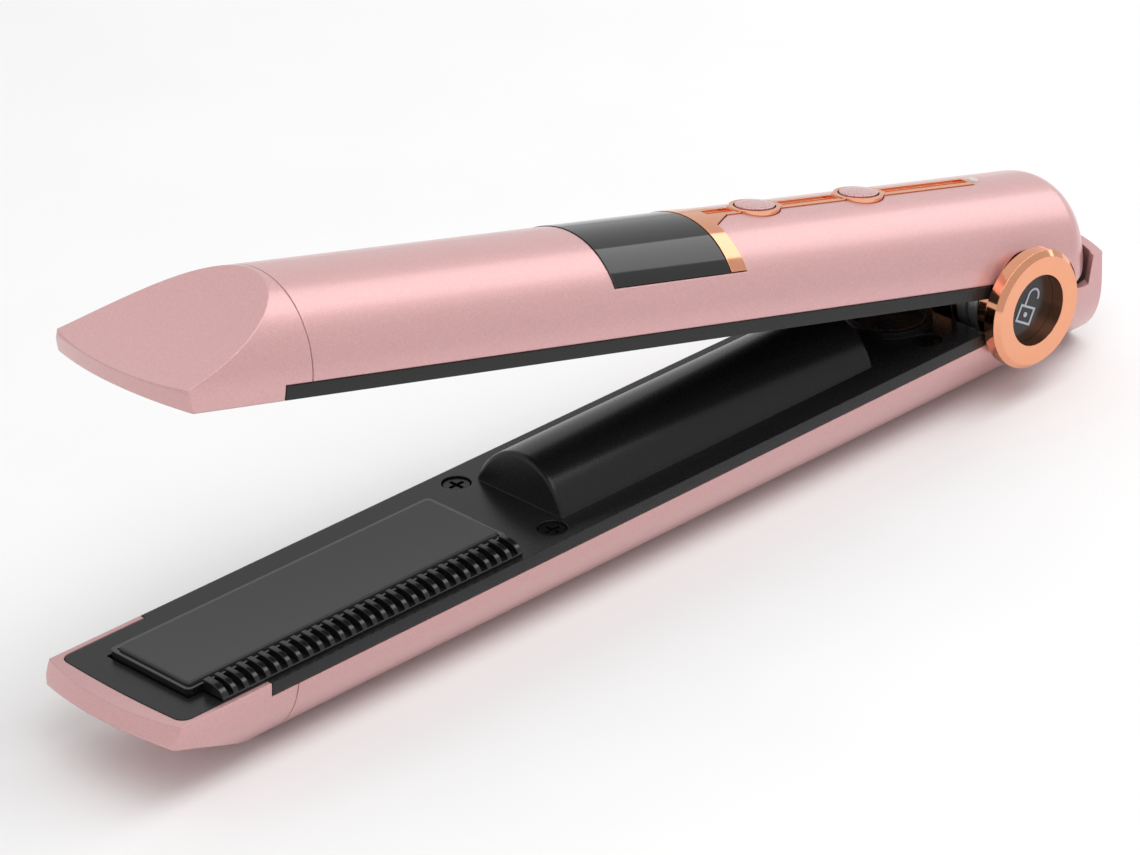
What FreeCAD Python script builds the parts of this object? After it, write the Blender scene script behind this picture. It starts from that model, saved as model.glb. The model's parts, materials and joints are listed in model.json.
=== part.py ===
import FreeCAD, Part
import math
import os
import re
import Sketcher

# A cordless flat iron: two half-round arms on a cross hinge, one heated plate in each arm.
#
# Row frame: +X from the hinge towards the tips, +Y to the side with the lock ring, +Z up.
# The origin lies on the flat that the iron rests on, straight below the hinge axis.
#
# Each arm is drawn in its own arm frame: the hinge axis is the frame's Y axis, +X runs towards
# the tips, and +Z points away from the other arm, so both arms share the same figures.
# The lower arm is then turned upside down about X, and the upper arm is tilted open about Y.
# Pieces of the hinge itself are drawn in the level hinge frame.

DOC = FreeCAD.newDocument("flat_iron")
SHEET = DOC.addObject("Spreadsheet::Sheet", "dims")

DIMENSIONS = [
    # overall form of an arm
    ("arm_radius", 15.4, "radius of the half-round arm, centred on its flat panel"),
    ("panel_offset", 1.9, "distance from the hinge axis to each flat panel"),
    ("open_angle", 14.4, "angle between the arms at rest, open"),
    ("rest_trim", 0.5, "depth of the flat that the lower arm rests on"),
    ("seam_x", 164.4, "hinge axis to the seam of the nose caps"),
    ("nose_length", 27.5, "seam to the tip"),
    ("shell_wall", 1.6, "wall of the shells"),
    ("seam_gap", 0.2, "open line between shell and nose cap"),
    ("fit_gap", 0.15, "clearance between pieces that don't move"),
    ("run_gap", 0.3, "clearance between pieces that move"),
    ("glue_gap", 0.02, "clearance between pieces that are glued or pressed together"),
    # nose caps
    ("tip_bow", 50, "radius of the bowed tip in plan"),
    ("lip_height", 2.8, "height of the lip at the tip"),
    ("nose_corner", 1.5, "corner radius of the nose cap in plan"),
    ("lip_slant", 1.2, "how far the lip leans out over its height"),
    ("scoop_radius", 110, "radius of the hollow on the outside of the nose"),
    ("scoop_lead", 1.2, "seam to the start of the hollow"),
    ("notch_lead", 5.4, "seam to the step in the cap's side"),
    ("rim_front", 4.5, "tip to the front edge of the black tray"),
    ("rim_side", 1.1, "width of the cap's rim beside the tray"),
    ("tongue_length", 6, "length of the cap's tongue inside the shell"),
    # trays
    ("band_height", 2.2, "height of the tray's side band"),
    ("band_gap", 0.2, "open line between tray and shell"),
    ("tray_rear", 9.4, "hinge axis to the tray's rear edge"),
    ("tray_corner", 2, "corner radius of the tray's front"),
    ("tray_bow", 200, "radius of the tray's bowed front edge in plan"),
    ("screw_x", 106.7, "hinge axis to the screws behind the plate"),
    ("screw_y", 11.1, "those screws off the centre line"),
    ("rear_screw_x", 18, "hinge axis to the rear tray screws"),
    ("rear_screw_y", 10, "those screws off the centre line"),
    ("screw_head", 2.2, "radius of a screw head"),
    ("screw_head_height", 0.9, "height of a screw head"),
    ("screw_sunk", 0.3, "depth of a screw head below the panel"),
    ("screw_shank", 1.1, "radius of a screw's thread"),
    ("screw_length", 5.6, "length of a screw's thread"),
    ("boss_radius", 2.5, "radius of the screw bosses"),
    # heated plates
    ("plate_rear", 115.5, "hinge axis to the plate's rear edge"),
    ("plate_length", 65, "length of the heated plate"),
    ("plate_half", 8.35, "half width of the heated plate"),
    ("plate_proud", 1.75, "height of the plate's face over the panel"),
    ("plate_thick", 1.4, "thickness of the heated plate"),
    ("plate_round", 0.35, "rounding of the plate's upper edges"),
    ("plate_corner", 0.8, "corner radius of the plate in plan"),
    ("frame_border", 0.9, "width of the black frame round the plate"),
    ("frame_proud", 1.2, "height of the black frame over the panel"),
    ("frame_floor", 1.2, "thickness of the frame's floor and of its flange"),
    ("frame_ledge", 1.0, "width of the ledge under the plate's edge"),
    ("flange_out", 1.0, "how far the flange reaches under the tray"),
    ("heater_thick", 1.6, "thickness of the ceramic heater"),
    ("shield_thick", 0.7, "thickness of the insulating pad"),
    ("plate_travel", 0.8, "how far a plate gives when it is pressed"),
    ("spring_inset", 20, "plate ends to the springs under them"),
    ("spring_radius", 2.4, "mean radius of a plate spring"),
    ("spring_wire", 0.7, "wire diameter of the springs"),
    ("spring_length", 4.4, "length of a plate spring at rest"),
    # comb
    ("comb_pitch", 2.2, "distance from tooth to tooth"),
    ("comb_thick", 1.0, "thickness of a tooth"),
    ("comb_height", 2.2, "height of a tooth over the panel"),
    ("comb_width", 4.6, "reach of a tooth to the side"),
    ("comb_base", 0.5, "thickness of the strip under the teeth"),
    # battery
    ("cell_radius", 9.1, "radius of the battery cell"),
    ("cell_length", 65, "length of the battery cell"),
    ("cell_rear", 35, "hinge axis to the cell's rear end"),
    ("cell_sink", 2.9, "panel to the cell's axis"),
    ("tab_thick", 0.4, "thickness of the contact tabs"),
    ("cell_gap", 0.4, "clearance round the cell"),
    ("cell_end_gap", 3, "clearance at each end of the cell, for its contacts"),
    ("bump_wall", 0.9, "wall of the tray over the cell"),
    ("bump_draft", 1.5, "how far the front of the bump leans back"),
    ("recess_gap", 0.8, "clearance of the bump in the upper tray"),
    # hinge
    ("barrel_radius", 8.3, "radius of the hinge barrel"),
    ("barrel_half", 6.4, "half length of the hinge barrel"),
    ("barrel_wall", 1.3, "wall of the hinge barrel"),
    ("lug_thick", 2.0, "thickness of a hinge lug"),
    ("lug_radius", 7.5, "radius of a hinge lug"),
    ("lug_gap", 0.6, "room between neighbouring lugs, for a washer"),
    ("washer_thick", 0.4, "thickness of a hinge washer"),
    ("pin_radius", 2.5, "radius of the hinge pin"),
    ("pin_gap", 0.05, "running clearance round the hinge pin"),
    ("pin_rim", 1.4, "how far the pin's head stands out round it"),
    ("pin_head", 2.6, "length of the pin's head"),
    ("groove_deep", 0.6, "depth of the groove for the pin's clip"),
    ("clip_thick", 0.5, "width of that groove"),
    ("bracket_thick", 1.5, "thickness of the hinge brackets"),
    ("bracket_gap", 0.6, "barrel to the hinge brackets"),
    ("bracket_front", 14, "hinge axis to the front of the brackets"),
    # rear ends
    ("bow_radius", 37.2, "radius of the bowed rear ends in plan"),
    ("rear_x", 23.4, "hinge axis to the rear of the lower shell"),
    ("rear_wall", 1.8, "thickness of the rear wall"),
    ("block_rise", 2.8, "height of the rear wall over the hinge axis"),
    ("block_front", 8.5, "hinge axis to the front of the raised rear block"),
    ("upper_rear", 19.9, "hinge axis to the rear of the upper shell"),
    ("rear_round", 5.5, "rounding of the upper shell's rear end"),
    ("skirt_front", 8.0, "hinge axis to the front of the upper shell's deeper rear part"),
    ("rear_gap", 0.35, "clearance between the two rear ends"),
    # lock ring and hinge cap
    ("ring_radius", 10.5, "outer radius of the lock ring"),
    ("ring_window", 6.3, "radius of the opening in its face"),
    ("ring_stand", 0.3, "arm side to the back of the ring"),
    ("ring_depth", 3.3, "thickness of the ring"),
    ("ring_chamfer", 0.9, "bevel of the ring's outer edge"),
    ("dial_depth", 2.6, "depth of the dial face below the ring's face"),
    ("dial_thick", 0.6, "thickness of the dial face"),
    ("ring_floor", 0.8, "thickness of the ring behind the dial face"),
    ("cap_hollow", 0.6, "depth of the hinge cap's hollow behind its rim"),
    ("sign_line", 0.38, "line width of the padlock sign"),
    ("sign_rise", 0.12, "height of the padlock sign over the dial face"),
    ("hub_radius", 8.4, "radius of the hub behind the ring"),
    ("hub_wall", 1.3, "wall of that hub"),
    ("hub_length", 2.8, "length of that hub inside the arm's side"),
    ("hub_gap", 0.6, "clearance between hub and shells"),
    # display
    ("glass_rear", 71.7, "hinge axis to the rear edge of the display window"),
    ("glass_length", 26.5, "length of the display window"),
    ("glass_angle", 51.5, "half angle that the window wraps over the arm"),
    ("glass_thick", 1.2, "thickness of the window"),
    ("glass_proud", 0.1, "how far the window stands over the shell"),
    # trim
    ("trim_length", 3.6, "width of the bright band behind the window"),
    ("trim_proud", 0.2, "how far the trim stands over the shell"),
    ("trim_thick", 1.2, "thickness of the trim"),
    ("strip_half", 1.6, "half width of the bright strip"),
    ("strip_rear", 1.6, "hinge axis to the rear end of the strip"),
    ("channel_half", 0.9, "half width of the channel in the strip"),
    ("channel_depth", 0.5, "depth of that channel"),
    ("flare_length", 5, "length over which the strip widens into the band"),
    ("flare_half", 4.5, "half width of the strip where it meets the band"),
    # buttons
    ("power_x", 54.7, "hinge axis to the power button"),
    ("mode_x", 29.3, "hinge axis to the mode button"),
    ("lens_length", 5.1, "half length of the collar round a button"),
    ("lens_half", 3.4, "half width of that collar"),
    ("lens_margin", 0.4, "how far the collar's flat top runs on into the strip"),
    ("lens_rise", 0.35, "height of the flat-topped collar over the crown"),
    ("button_length", 4.1, "half length of a button"),
    ("button_half", 2.5, "half width of a button"),
    ("button_rise", 0.75, "height of a button over the shell"),
    ("button_dome", 0.25, "height of a button's domed top"),
    ("button_travel", 0.7, "how far a button is pressed"),
    ("button_gap", 0.25, "clearance round a button"),
    ("stem_radius", 1.2, "radius of a button's stem"),
    ("lamp_radius", 0.9, "radius of the status light"),
    # electronics
    ("board_level", 8.3, "hinge plane to the control board"),
    ("board_thick", 1.2, "thickness of the control board"),
    ("board_half", 8.5, "half width of the control board"),
    ("board_rear", 24, "hinge axis to the control board's rear edge"),
    ("board_length", 81, "length of the control board"),
    ("switch_height", 1.8, "height of a button switch"),
    ("port_level", 9.2, "hinge plane to the charging socket"),
    ("port_height", 3.2, "height of the charging socket"),
    ("port_half", 4.5, "half width of the charging socket"),
    ("port_length", 7.4, "length of the charging socket"),
    ("port_wall", 0.35, "wall of the charging socket"),
    ("charge_thick", 0.8, "thickness of the charging board"),
]
COMB_TEETH = 29
SPRING_TURNS = 3

for row, (alias, size, note) in enumerate(DIMENSIONS, 1):
    SHEET.set(f"A{row}", note)
    SHEET.set(f"B{row}", str(size))
    SHEET.setAlias(f"B{row}", alias)
DOC.recompute()

ALIASES = sorted((alias for alias, _, _ in DIMENSIONS), key=len, reverse=True)
ALIAS_PATTERN = re.compile(r"\b(" + "|".join(ALIASES) + r")\b")

# sizes that follow from the driving ones
PANEL = "panel_offset"
CROWN = "(panel_offset + arm_radius)"
INNER = "(arm_radius - shell_wall)"
HINGE_HEIGHT = "(arm_radius - rest_trim + panel_offset)"
TIP = "(seam_x + nose_length)"
BAND = "(panel_offset + band_height)"
SHELL_EDGE = "(panel_offset + band_height + band_gap)"
NOTCH = "(seam_x + notch_lead)"
TRAY_FRONT = f"({TIP} - rim_front)"
TRAY_SIDE = "(arm_radius - rim_side)"
PLATE_FRONT = "(plate_rear + plate_length)"
PLATE_FACE = "(panel_offset - plate_proud)"
PLATE_BACK = "(panel_offset - plate_proud + plate_thick)"
HEATER_BACK = f"({PLATE_BACK} + heater_thick)"
SHIELD_BACK = f"({HEATER_BACK} + shield_thick)"
FLANGE_TOP = f"({BAND} + fit_gap)"
FRAME_BACK = f"({FLANGE_TOP} + frame_floor)"
FRAME_HALF = "(plate_half + frame_border)"
CELL_AXIS = "(panel_offset + cell_sink)"
BUMP_INNER = "(cell_radius + cell_gap)"
BUMP_RADIUS = f"({BUMP_INNER} + bump_wall)"
BUMP_REAR = "(cell_rear - cell_end_gap - bump_wall)"
BUMP_FRONT = "(cell_rear + cell_length + cell_end_gap + bump_wall)"
HOLE_RADIUS = "(hub_radius + hub_gap)"
RING_BACK = "(arm_radius + ring_stand)"
RING_FACE = f"({RING_BACK} + ring_depth)"
UPPER_LUG = "(barrel_half + lug_gap)"
UPPER_LUG_END = f"({UPPER_LUG} + lug_thick)"
LOWER_LUG = f"({UPPER_LUG_END} + lug_gap)"
LOWER_LUG_END = f"({LOWER_LUG} + lug_thick)"
BRACKET = "(barrel_radius + bracket_gap)"
BRACKET_BACK = f"({BRACKET} + bracket_thick)"
GLASS_FRONT = "(glass_rear + glass_length)"
TRIM_FRONT = "(glass_rear - seam_gap)"
TRIM_REAR = f"({TRIM_FRONT} - trim_length)"
BOARD_TOP = "(board_level + board_thick)"
BUTTON_FLANGE = f"({CROWN} - shell_wall - 2 * fit_gap)"
SPRING_SEAT = f"({FRAME_BACK} + spring_length)"
PORT_BACK = "(port_level + port_height)"
FAR = "(arm_radius + 10)"

X_AXIS = FreeCAD.Vector(1, 0, 0)
Y_AXIS = FreeCAD.Vector(0, 1, 0)
Z_AXIS = FreeCAD.Vector(0, 0, 1)
NODES = []


# ---------------------------------------------------------------- helpers

def formula(text):
    """Turns a size written with the sheet's words into an expression on the sheet."""
    return ALIAS_PATTERN.sub(r"dims.\1", str(text))


def bind(thing, **sizes):
    """Binds properties of an object to expressions; at=(x, y, z) binds its place."""
    for name, text in sizes.items():
        if name == "at":
            for axis, part in zip("xyz", text):
                thing.setExpression(f"Placement.Base.{axis}", formula(part))
        else:
            thing.setExpression(name, formula(text))
    return thing


def box(name, x, y, z):
    """A block between two figures along each axis."""
    block = DOC.addObject("Part::Box", name)
    return bind(block, at=(x[0], y[0], z[0]), Length=f"{x[1]} - ({x[0]})",
                Width=f"{y[1]} - ({y[0]})", Height=f"{z[1]} - ({z[0]})")


def band(name, x, half, z):
    """A block centred on the arm's middle plane."""
    return box(name, x, (f"-({half})", half), z)


def rod(name, axis, radius, span, at=("0", "0")):
    """A cylinder along one axis; at holds its other two coordinates, in X, Y, Z order."""
    cylinder = DOC.addObject("Part::Cylinder", name)
    start = {"x": (span[0], *at), "y": (at[0], span[0], at[1]), "z": (*at, span[0])}[axis]
    turn = {"x": FreeCAD.Rotation(Y_AXIS, 90), "y": FreeCAD.Rotation(X_AXIS, -90),
            "z": FreeCAD.Rotation()}[axis]
    cylinder.Placement = FreeCAD.Placement(FreeCAD.Vector(), turn)
    return bind(cylinder, at=start, Radius=radius, Height=f"{span[1]} - ({span[0]})")


def sector(name, radius, span, half_angle):
    """A slice of a cylinder along X about the panel's centre line, symmetric about +Z."""
    slice_ = DOC.addObject("Part::Cylinder", name)
    slice_.Placement = FreeCAD.Placement(FreeCAD.Vector(), FreeCAD.Rotation(Y_AXIS, 90))
    bind(slice_, at=(span[0], "0", "0"), Radius=radius, Height=f"{span[1]} - ({span[0]})",
         Angle=f"2 * ({half_angle})")
    holder = DOC.addObject("Part::Compound", name + "_turned")
    holder.Links = [slice_]
    holder.Placement = FreeCAD.Placement(FreeCAD.Vector(), FreeCAD.Rotation(X_AXIS, 180))
    holder.setExpression("Placement.Rotation.Angle", formula(f"180 - ({half_angle})"))
    return bind(holder, at=("0", "0", PANEL))


def fuse(name, *shapes):
    """Several shapes as one."""
    union = DOC.addObject("Part::MultiFuse", name)
    union.Shapes = list(shapes)
    union.Refine = True
    return union


def common(name, *shapes):
    """What several shapes share."""
    shared = DOC.addObject("Part::MultiCommon", name)
    shared.Shapes = list(shapes)
    shared.Refine = True
    return shared


def cut(name, base, *tools):
    """A shape with others taken out of it."""
    rest = DOC.addObject("Part::Cut", name)
    rest.Base = base
    rest.Tool = tools[0] if len(tools) == 1 else fuse(name + "_tools", *tools)
    rest.Refine = True
    return rest


def group(name, shapes):
    """Separate solids that share one node."""
    bundle = DOC.addObject("Part::Compound", name)
    bundle.Links = list(shapes)
    return bundle


def round_edges(name, base, radius, wanted):
    """Rounds the edges of a shape for which wanted(edge) is true."""
    DOC.recompute()
    fillet = DOC.addObject("Part::Fillet", name)
    fillet.Base = base
    size = float(radius)
    fillet.Edges = [(number, size, size) for number, edge in enumerate(base.Shape.Edges, 1) if wanted(edge)]
    return fillet


def figure(alias):
    """The present value of one size of the sheet."""
    return float(SHEET.get(alias))


def node(name, thing, place):
    """Names a finished sub-part and moves it from its own frame into the row frame."""
    if any("Placement" in path for path, _ in thing.ExpressionEngine):
        thing = group(name + "_holder", [thing])
    thing.Label = name
    if place == "lower":
        thing.Placement = FreeCAD.Placement(FreeCAD.Vector(), FreeCAD.Rotation(X_AXIS, 180))
    if place == "upper":
        thing.Placement = FreeCAD.Placement(FreeCAD.Vector(), FreeCAD.Rotation(-Y_AXIS, 1))
        thing.setExpression("Placement.Rotation.Angle", formula("open_angle"))
    bind(thing, at=("0", "0", HINGE_HEIGHT))
    NODES.append(thing)
    return thing


def new_body(name):
    """An empty body for features made from sketches."""
    return DOC.addObject("PartDesign::Body", name)


def origin_plane(body, role):
    """One of a body's own three planes."""
    return next(plane for plane in body.Origin.OriginFeatures if plane.Role == role)


def outline(body, name, role, points, lift="0"):
    """A closed sketch of straight lines whose corners are bound to the sheet."""
    sketch = body.newObject("Sketcher::SketchObject", name)
    sketch.AttachmentSupport = [(origin_plane(body, role), "")]
    sketch.MapMode = "FlatFace"
    sketch.setExpression("AttachmentOffset.Base.z", formula(lift))
    count = len(points)
    start = [FreeCAD.Vector(number, number * number, 0) for number in range(1, count + 1)]
    for number in range(count):
        sketch.addGeometry(Part.LineSegment(start[number], start[(number + 1) % count]))
    for number in range(count):
        sketch.addConstraint(Sketcher.Constraint("Coincident", number, 2, (number + 1) % count, 1))
    for number, point in enumerate(points):
        for kind, text, at in zip(("DistanceX", "DistanceY"), point, (start[number].x, start[number].y)):
            index = sketch.addConstraint(Sketcher.Constraint(kind, -1, 1, number, 1, at))
            sketch.renameConstraint(index, f"{kind}{number}")
            sketch.setExpression(f"Constraints.{kind}{number}", formula(text))
    return sketch


def pad(body, sketch, length, both_ways=False):
    """Material raised from a sketch."""
    raised = body.newObject("PartDesign::Pad", sketch.Name + "_pad")
    raised.Profile = sketch
    raised.SideType = "Symmetric" if both_ways else "One side"
    raised.setExpression("Length", formula(length))
    return raised


def revolve(body, sketch, axis):
    """A full turn of a sketch about one of its own axes."""
    turned = body.newObject("PartDesign::Revolution", sketch.Name + "_turn")
    turned.Profile = sketch
    turned.ReferenceAxis = (sketch, [axis])
    turned.Angle = 360
    return turned


def edge_run(edge, axis):
    """Whether an edge is straight and runs along one axis."""
    if edge.Curve.TypeId != "Part::GeomLine":
        return False
    return abs(abs(edge.Curve.Direction.dot(axis)) - 1) < 1e-6


# ---------------------------------------------------------------- nose caps

def arm_cylinder(name, radius, span):
    """A full cylinder on the centre line of an arm's panel."""
    return rod(name, "x", radius, span, ("0", PANEL))


def tray_front_prism(name, side, slack, z):
    """The bowed, round-cornered front part of a tray's outline, grown by a clearance."""
    block = band(f"{side}_{name}_block", (f"{NOTCH} - 1", f"{TRAY_FRONT} + 1"), f"{TRAY_SIDE} + {slack}", z)
    bow = rod(f"{side}_{name}_bow", "z", f"tray_bow + {slack}", z, (f"{TRAY_FRONT} - tray_bow", "0"))
    prism = common(f"{side}_{name}_prism", block, bow)
    corner_x = figure("seam_x") + figure("notch_lead") + 2

    def front_corner(edge):
        return edge_run(edge, Z_AXIS) and edge.CenterOfMass.x > corner_x

    return round_edges(f"{side}_{name}_rounded", prism, figure("tray_corner"), front_corner)


def scoop(side):
    """The large cylinder that hollows the outside of a nose cap from the crown to the lip."""
    run = "(nose_length - scoop_lead)"
    drop = "(arm_radius - lip_height)"
    chord = f"sqrt({run}^2 + {drop}^2)"
    reach = f"sqrt(scoop_radius^2 - {chord}^2 / 4)"
    centre_x = f"seam_x + scoop_lead + {run} / 2 + {drop} / {chord} * {reach}"
    centre_z = f"{CROWN} - {drop} / 2 + {run} / {chord} * {reach}"
    return rod(f"{side}_scoop", "y", "scoop_radius", (f"-{FAR}", FAR), (centre_x, centre_z))


def nose_cap(side):
    """The pink cap at the tip of an arm, with its hollowed face, lip and tongue."""
    top = f"{CROWN} - rest_trim" if side == "lower" else f"{CROWN} + 1"
    start = "seam_x + seam_gap"
    centre = (f"{TIP} - tip_bow", "0")
    cone = DOC.addObject("Part::Cone", f"{side}_nose_cone")
    bind(cone, at=(*centre, PANEL), Radius1="tip_bow - lip_slant",
         Radius2="tip_bow - lip_slant + lip_slant / lip_height * arm_radius", Height="arm_radius")
    height = ("0", "2 * arm_radius")
    plan = common(f"{side}_nose_plan",
                  band(f"{side}_nose_plan_block", ("seam_x - 20", f"{TIP} + 1"), "arm_radius", height),
                  rod(f"{side}_nose_plan_bow", "z", "tip_bow", height, centre))
    corner_x = figure("seam_x") + figure("nose_length") / 2

    def front_corner(edge):
        return edge_run(edge, Z_AXIS) and edge.CenterOfMass.x > corner_x

    plan_soft = round_edges(f"{side}_nose_plan_soft", plan, figure("nose_corner"), front_corner)
    round_nose = common(f"{side}_nose_round", cone, plan_soft,
                        arm_cylinder(f"{side}_nose_cylinder", "arm_radius", (start, f"{TIP} + 5")))
    keep = fuse(f"{side}_nose_keep",
                band(f"{side}_nose_keep_rear", (start, f"{NOTCH} + 1"), FAR, (SHELL_EDGE, top)),
                band(f"{side}_nose_keep_front", (f"{NOTCH} + band_gap", f"{TIP} + 5"), FAR, (PANEL, top)))
    solid = common(f"{side}_nose_solid", round_nose, keep)
    pocket = tray_front_prism("pocket", side, "fit_gap", (f"{PANEL} - 1", f"{BAND} + fit_gap"))
    cavity = band(f"{side}_nose_cavity",
                  ("seam_x - 1", f"{PLATE_FRONT} + frame_border + flange_out + 2 * run_gap"),
                  f"{FRAME_HALF} + flange_out + run_gap",
                  (PANEL, f"{FRAME_BACK} + plate_travel + run_gap"))
    carved = cut(f"{side}_nose_carved", solid, scoop(side), pocket, cavity)
    ring = cut(f"{side}_tongue_ring",
               arm_cylinder(f"{side}_tongue_outer", f"{INNER} - fit_gap",
                            ("seam_x - tongue_length", "seam_x + 1")),
               arm_cylinder(f"{side}_tongue_inner", f"{INNER} - fit_gap - shell_wall * 0.7",
                            ("seam_x - tongue_length - 1", "seam_x + 2")),
               band(f"{side}_tongue_relief", ("seam_x - tongue_length - 1", "seam_x"),
                    "spring_radius + spring_wire + run_gap", (PANEL, FAR)))
    shoulder = cut(f"{side}_shoulder",
                   arm_cylinder(f"{side}_shoulder_outer", f"{INNER} + shell_wall / 2",
                                ("seam_x", "seam_x + 1")),
                   arm_cylinder(f"{side}_shoulder_inner", f"{INNER} - fit_gap - shell_wall * 0.7",
                                ("seam_x - 1", "seam_x + 2")))
    tongue = common(f"{side}_tongue", fuse(f"{side}_tongue_blank", ring, shoulder),
                    band(f"{side}_tongue_keep", ("seam_x - tongue_length", "seam_x + 1"), FAR,
                         (SHELL_EDGE, CROWN)))
    return node(f"{side}_nose_cap", fuse(f"{side}_nose", carved, tongue), side)


# ---------------------------------------------------------------- shells

def screw_places():
    """Where the tray screws of an arm stand: x, y and a short name for each."""
    return [("screw_x", "screw_y", "front_a"), ("screw_x", "-screw_y", "front_b"),
            ("rear_screw_x", "rear_screw_y", "rear_a"), ("rear_screw_x", "-rear_screw_y", "rear_b")]


def bosses(side):
    """Screw bosses under the tray and the seats of the plate springs, inside a shell."""
    seats = ["plate_rear + spring_inset", f"{PLATE_FRONT} - spring_inset"]
    posts = [rod(f"{side}_boss_{tag}", "z", "boss_radius", (BAND, CROWN), (x, y))
             for x, y, tag in screw_places()]
    posts += [rod(f"{side}_bracket_post_{tag}", "z", "boss_radius", (BRACKET_BACK, CROWN),
                  ("bracket_front - 3", f"{sign}(lug_radius - 2)")) for sign,
              tag in (("", "a"), ("-", "b"))]
    if side == "lower":
        posts += [rod(f"charge_board_post_{tag}", "z", "boss_radius / 2",
                      (f"{PORT_BACK} + charge_thick", CROWN),
                      ("-rear_x + 12", f"{sign}(port_half - 1)")) for sign, tag in (("", "a"), ("-", "b"))]
    posts += [rod(f"{side}_seat_{number}", "z", "spring_radius + spring_wire",
                  (SPRING_SEAT, CROWN), (x, "0")) for number, x in enumerate(seats)]
    posts_inside = common(f"{side}_posts", fuse(f"{side}_post_set", *posts),
                          arm_cylinder(f"{side}_post_limit", f"{INNER} + shell_wall / 2",
                                       ("-rear_x + 8", "seam_x - 0.4")))
    drills = [rod(f"{side}_drill_{tag}", "z", "screw_shank + pin_gap",
                  (BAND, f"{PANEL} + screw_sunk + screw_head_height + screw_length + 0.5"), (x, y))
              for x, y, tag in screw_places()]
    return cut(f"{side}_bosses", posts_inside, *drills)


def lower_shell():
    """The lower pink shell: a half-round trough with a flat to rest on and a raised rear end."""
    rear = "-rear_x"
    front = "seam_x"
    floor = f"{CROWN} - rest_trim"
    trough = common("lower_trough", arm_cylinder("lower_outside", "arm_radius", (rear, front)),
                    band("lower_trough_keep", (rear, front), FAR, (SHELL_EDGE, floor)))
    side_walls = common("lower_side_walls",
                        arm_cylinder("lower_rear_outside", "arm_radius", (rear, "-block_front")),
                        band("lower_side_keep", (rear, "-block_front"), FAR, (PANEL, f"{SHELL_EDGE} + 1")))
    raised = band("lower_raised", (rear, "-block_front"), "arm_radius", ("-block_rise", PANEL))
    outside = fuse("lower_outside_all", trough, side_walls, raised)
    bow = ("bow_radius - rear_x", "0")
    beyond = cut("lower_rear_beyond",
                 band("lower_rear_slab", (f"{rear} - 1", "0"), FAR, ("-block_rise - 1", f"{CROWN} + 1")),
                 rod("lower_rear_bow", "z", "bow_radius", ("-block_rise - 2", f"{CROWN} + 2"), bow))
    hollow_front = arm_cylinder("lower_hollow", INNER, ("0", f"{front} + 1"))
    hollow_rear = common("lower_hollow_rear",
                         fuse("lower_hollow_section",
                              arm_cylinder("lower_hollow_round", INNER, (rear, "1")),
                              band("lower_hollow_box", (rear, "1"), INNER, ("-block_rise - 1", PANEL))),
                         rod("lower_hollow_bow", "z", "bow_radius - rear_wall",
                             ("-block_rise - 2", f"{CROWN} + 2"), bow))
    port = band("lower_port_hole", ("-rear_x - 1", "-rear_x + 5"), "port_half + fit_gap",
                ("port_level - fit_gap", f"{PORT_BACK} + fit_gap"))
    hole = rod("lower_hub_hole", "y", HOLE_RADIUS, (f"-{FAR}", FAR))
    carved = cut("lower_carved", outside, beyond, hollow_front, hollow_rear, port, hole,
                 upper_rear_clearance())
    return node("lower_shell", fuse("lower_shell_all", carved, bosses("lower")), "lower")


def rear_bow(name, slack, z):
    """The upright cylinder that bows the upper shell's rear end, in line with the lower rear wall."""
    return rod(name, "z", f"bow_radius - rear_x + upper_rear + {slack}", z, ("bow_radius - rear_x", "0"))


def upper_rear_clearance():
    """The room that the upper shell's rounded rear end needs at rest, in the lower arm's frame."""
    corner = "(rear_round + rear_gap)"
    low = f"({PANEL} - rear_gap)"
    back = "(-upper_rear - rear_gap)"
    shape = fuse("rear_clearance_shape",
                 band("rear_clearance_front", (f"{back} + {corner}", "skirt_front"), FAR,
                      (low, "2 * arm_radius")),
                 band("rear_clearance_back", (back, "0"), FAR, (f"{low} + {corner}", "2 * arm_radius")),
                 rod("rear_clearance_corner", "y", corner, (f"-{FAR}", FAR),
                     (f"{back} + {corner}", f"{low} + {corner}")))
    tilted = DOC.addObject("Part::Compound", "rear_clearance_tilted")
    tilted.Links = [common("rear_clearance_bowed", shape,
                           rear_bow("rear_clearance_bow", "rear_gap",
                                    (f"{low} - 1", "2 * arm_radius + 1")))]
    tilted.Placement = FreeCAD.Placement(FreeCAD.Vector(), FreeCAD.Rotation(-Y_AXIS, 1))
    tilted.setExpression("Placement.Rotation.Angle", formula("open_angle"))
    turned = DOC.addObject("Part::Compound", "rear_clearance")
    turned.Links = [tilted]
    turned.Placement = FreeCAD.Placement(FreeCAD.Vector(), FreeCAD.Rotation(X_AXIS, 180))
    return turned


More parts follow.
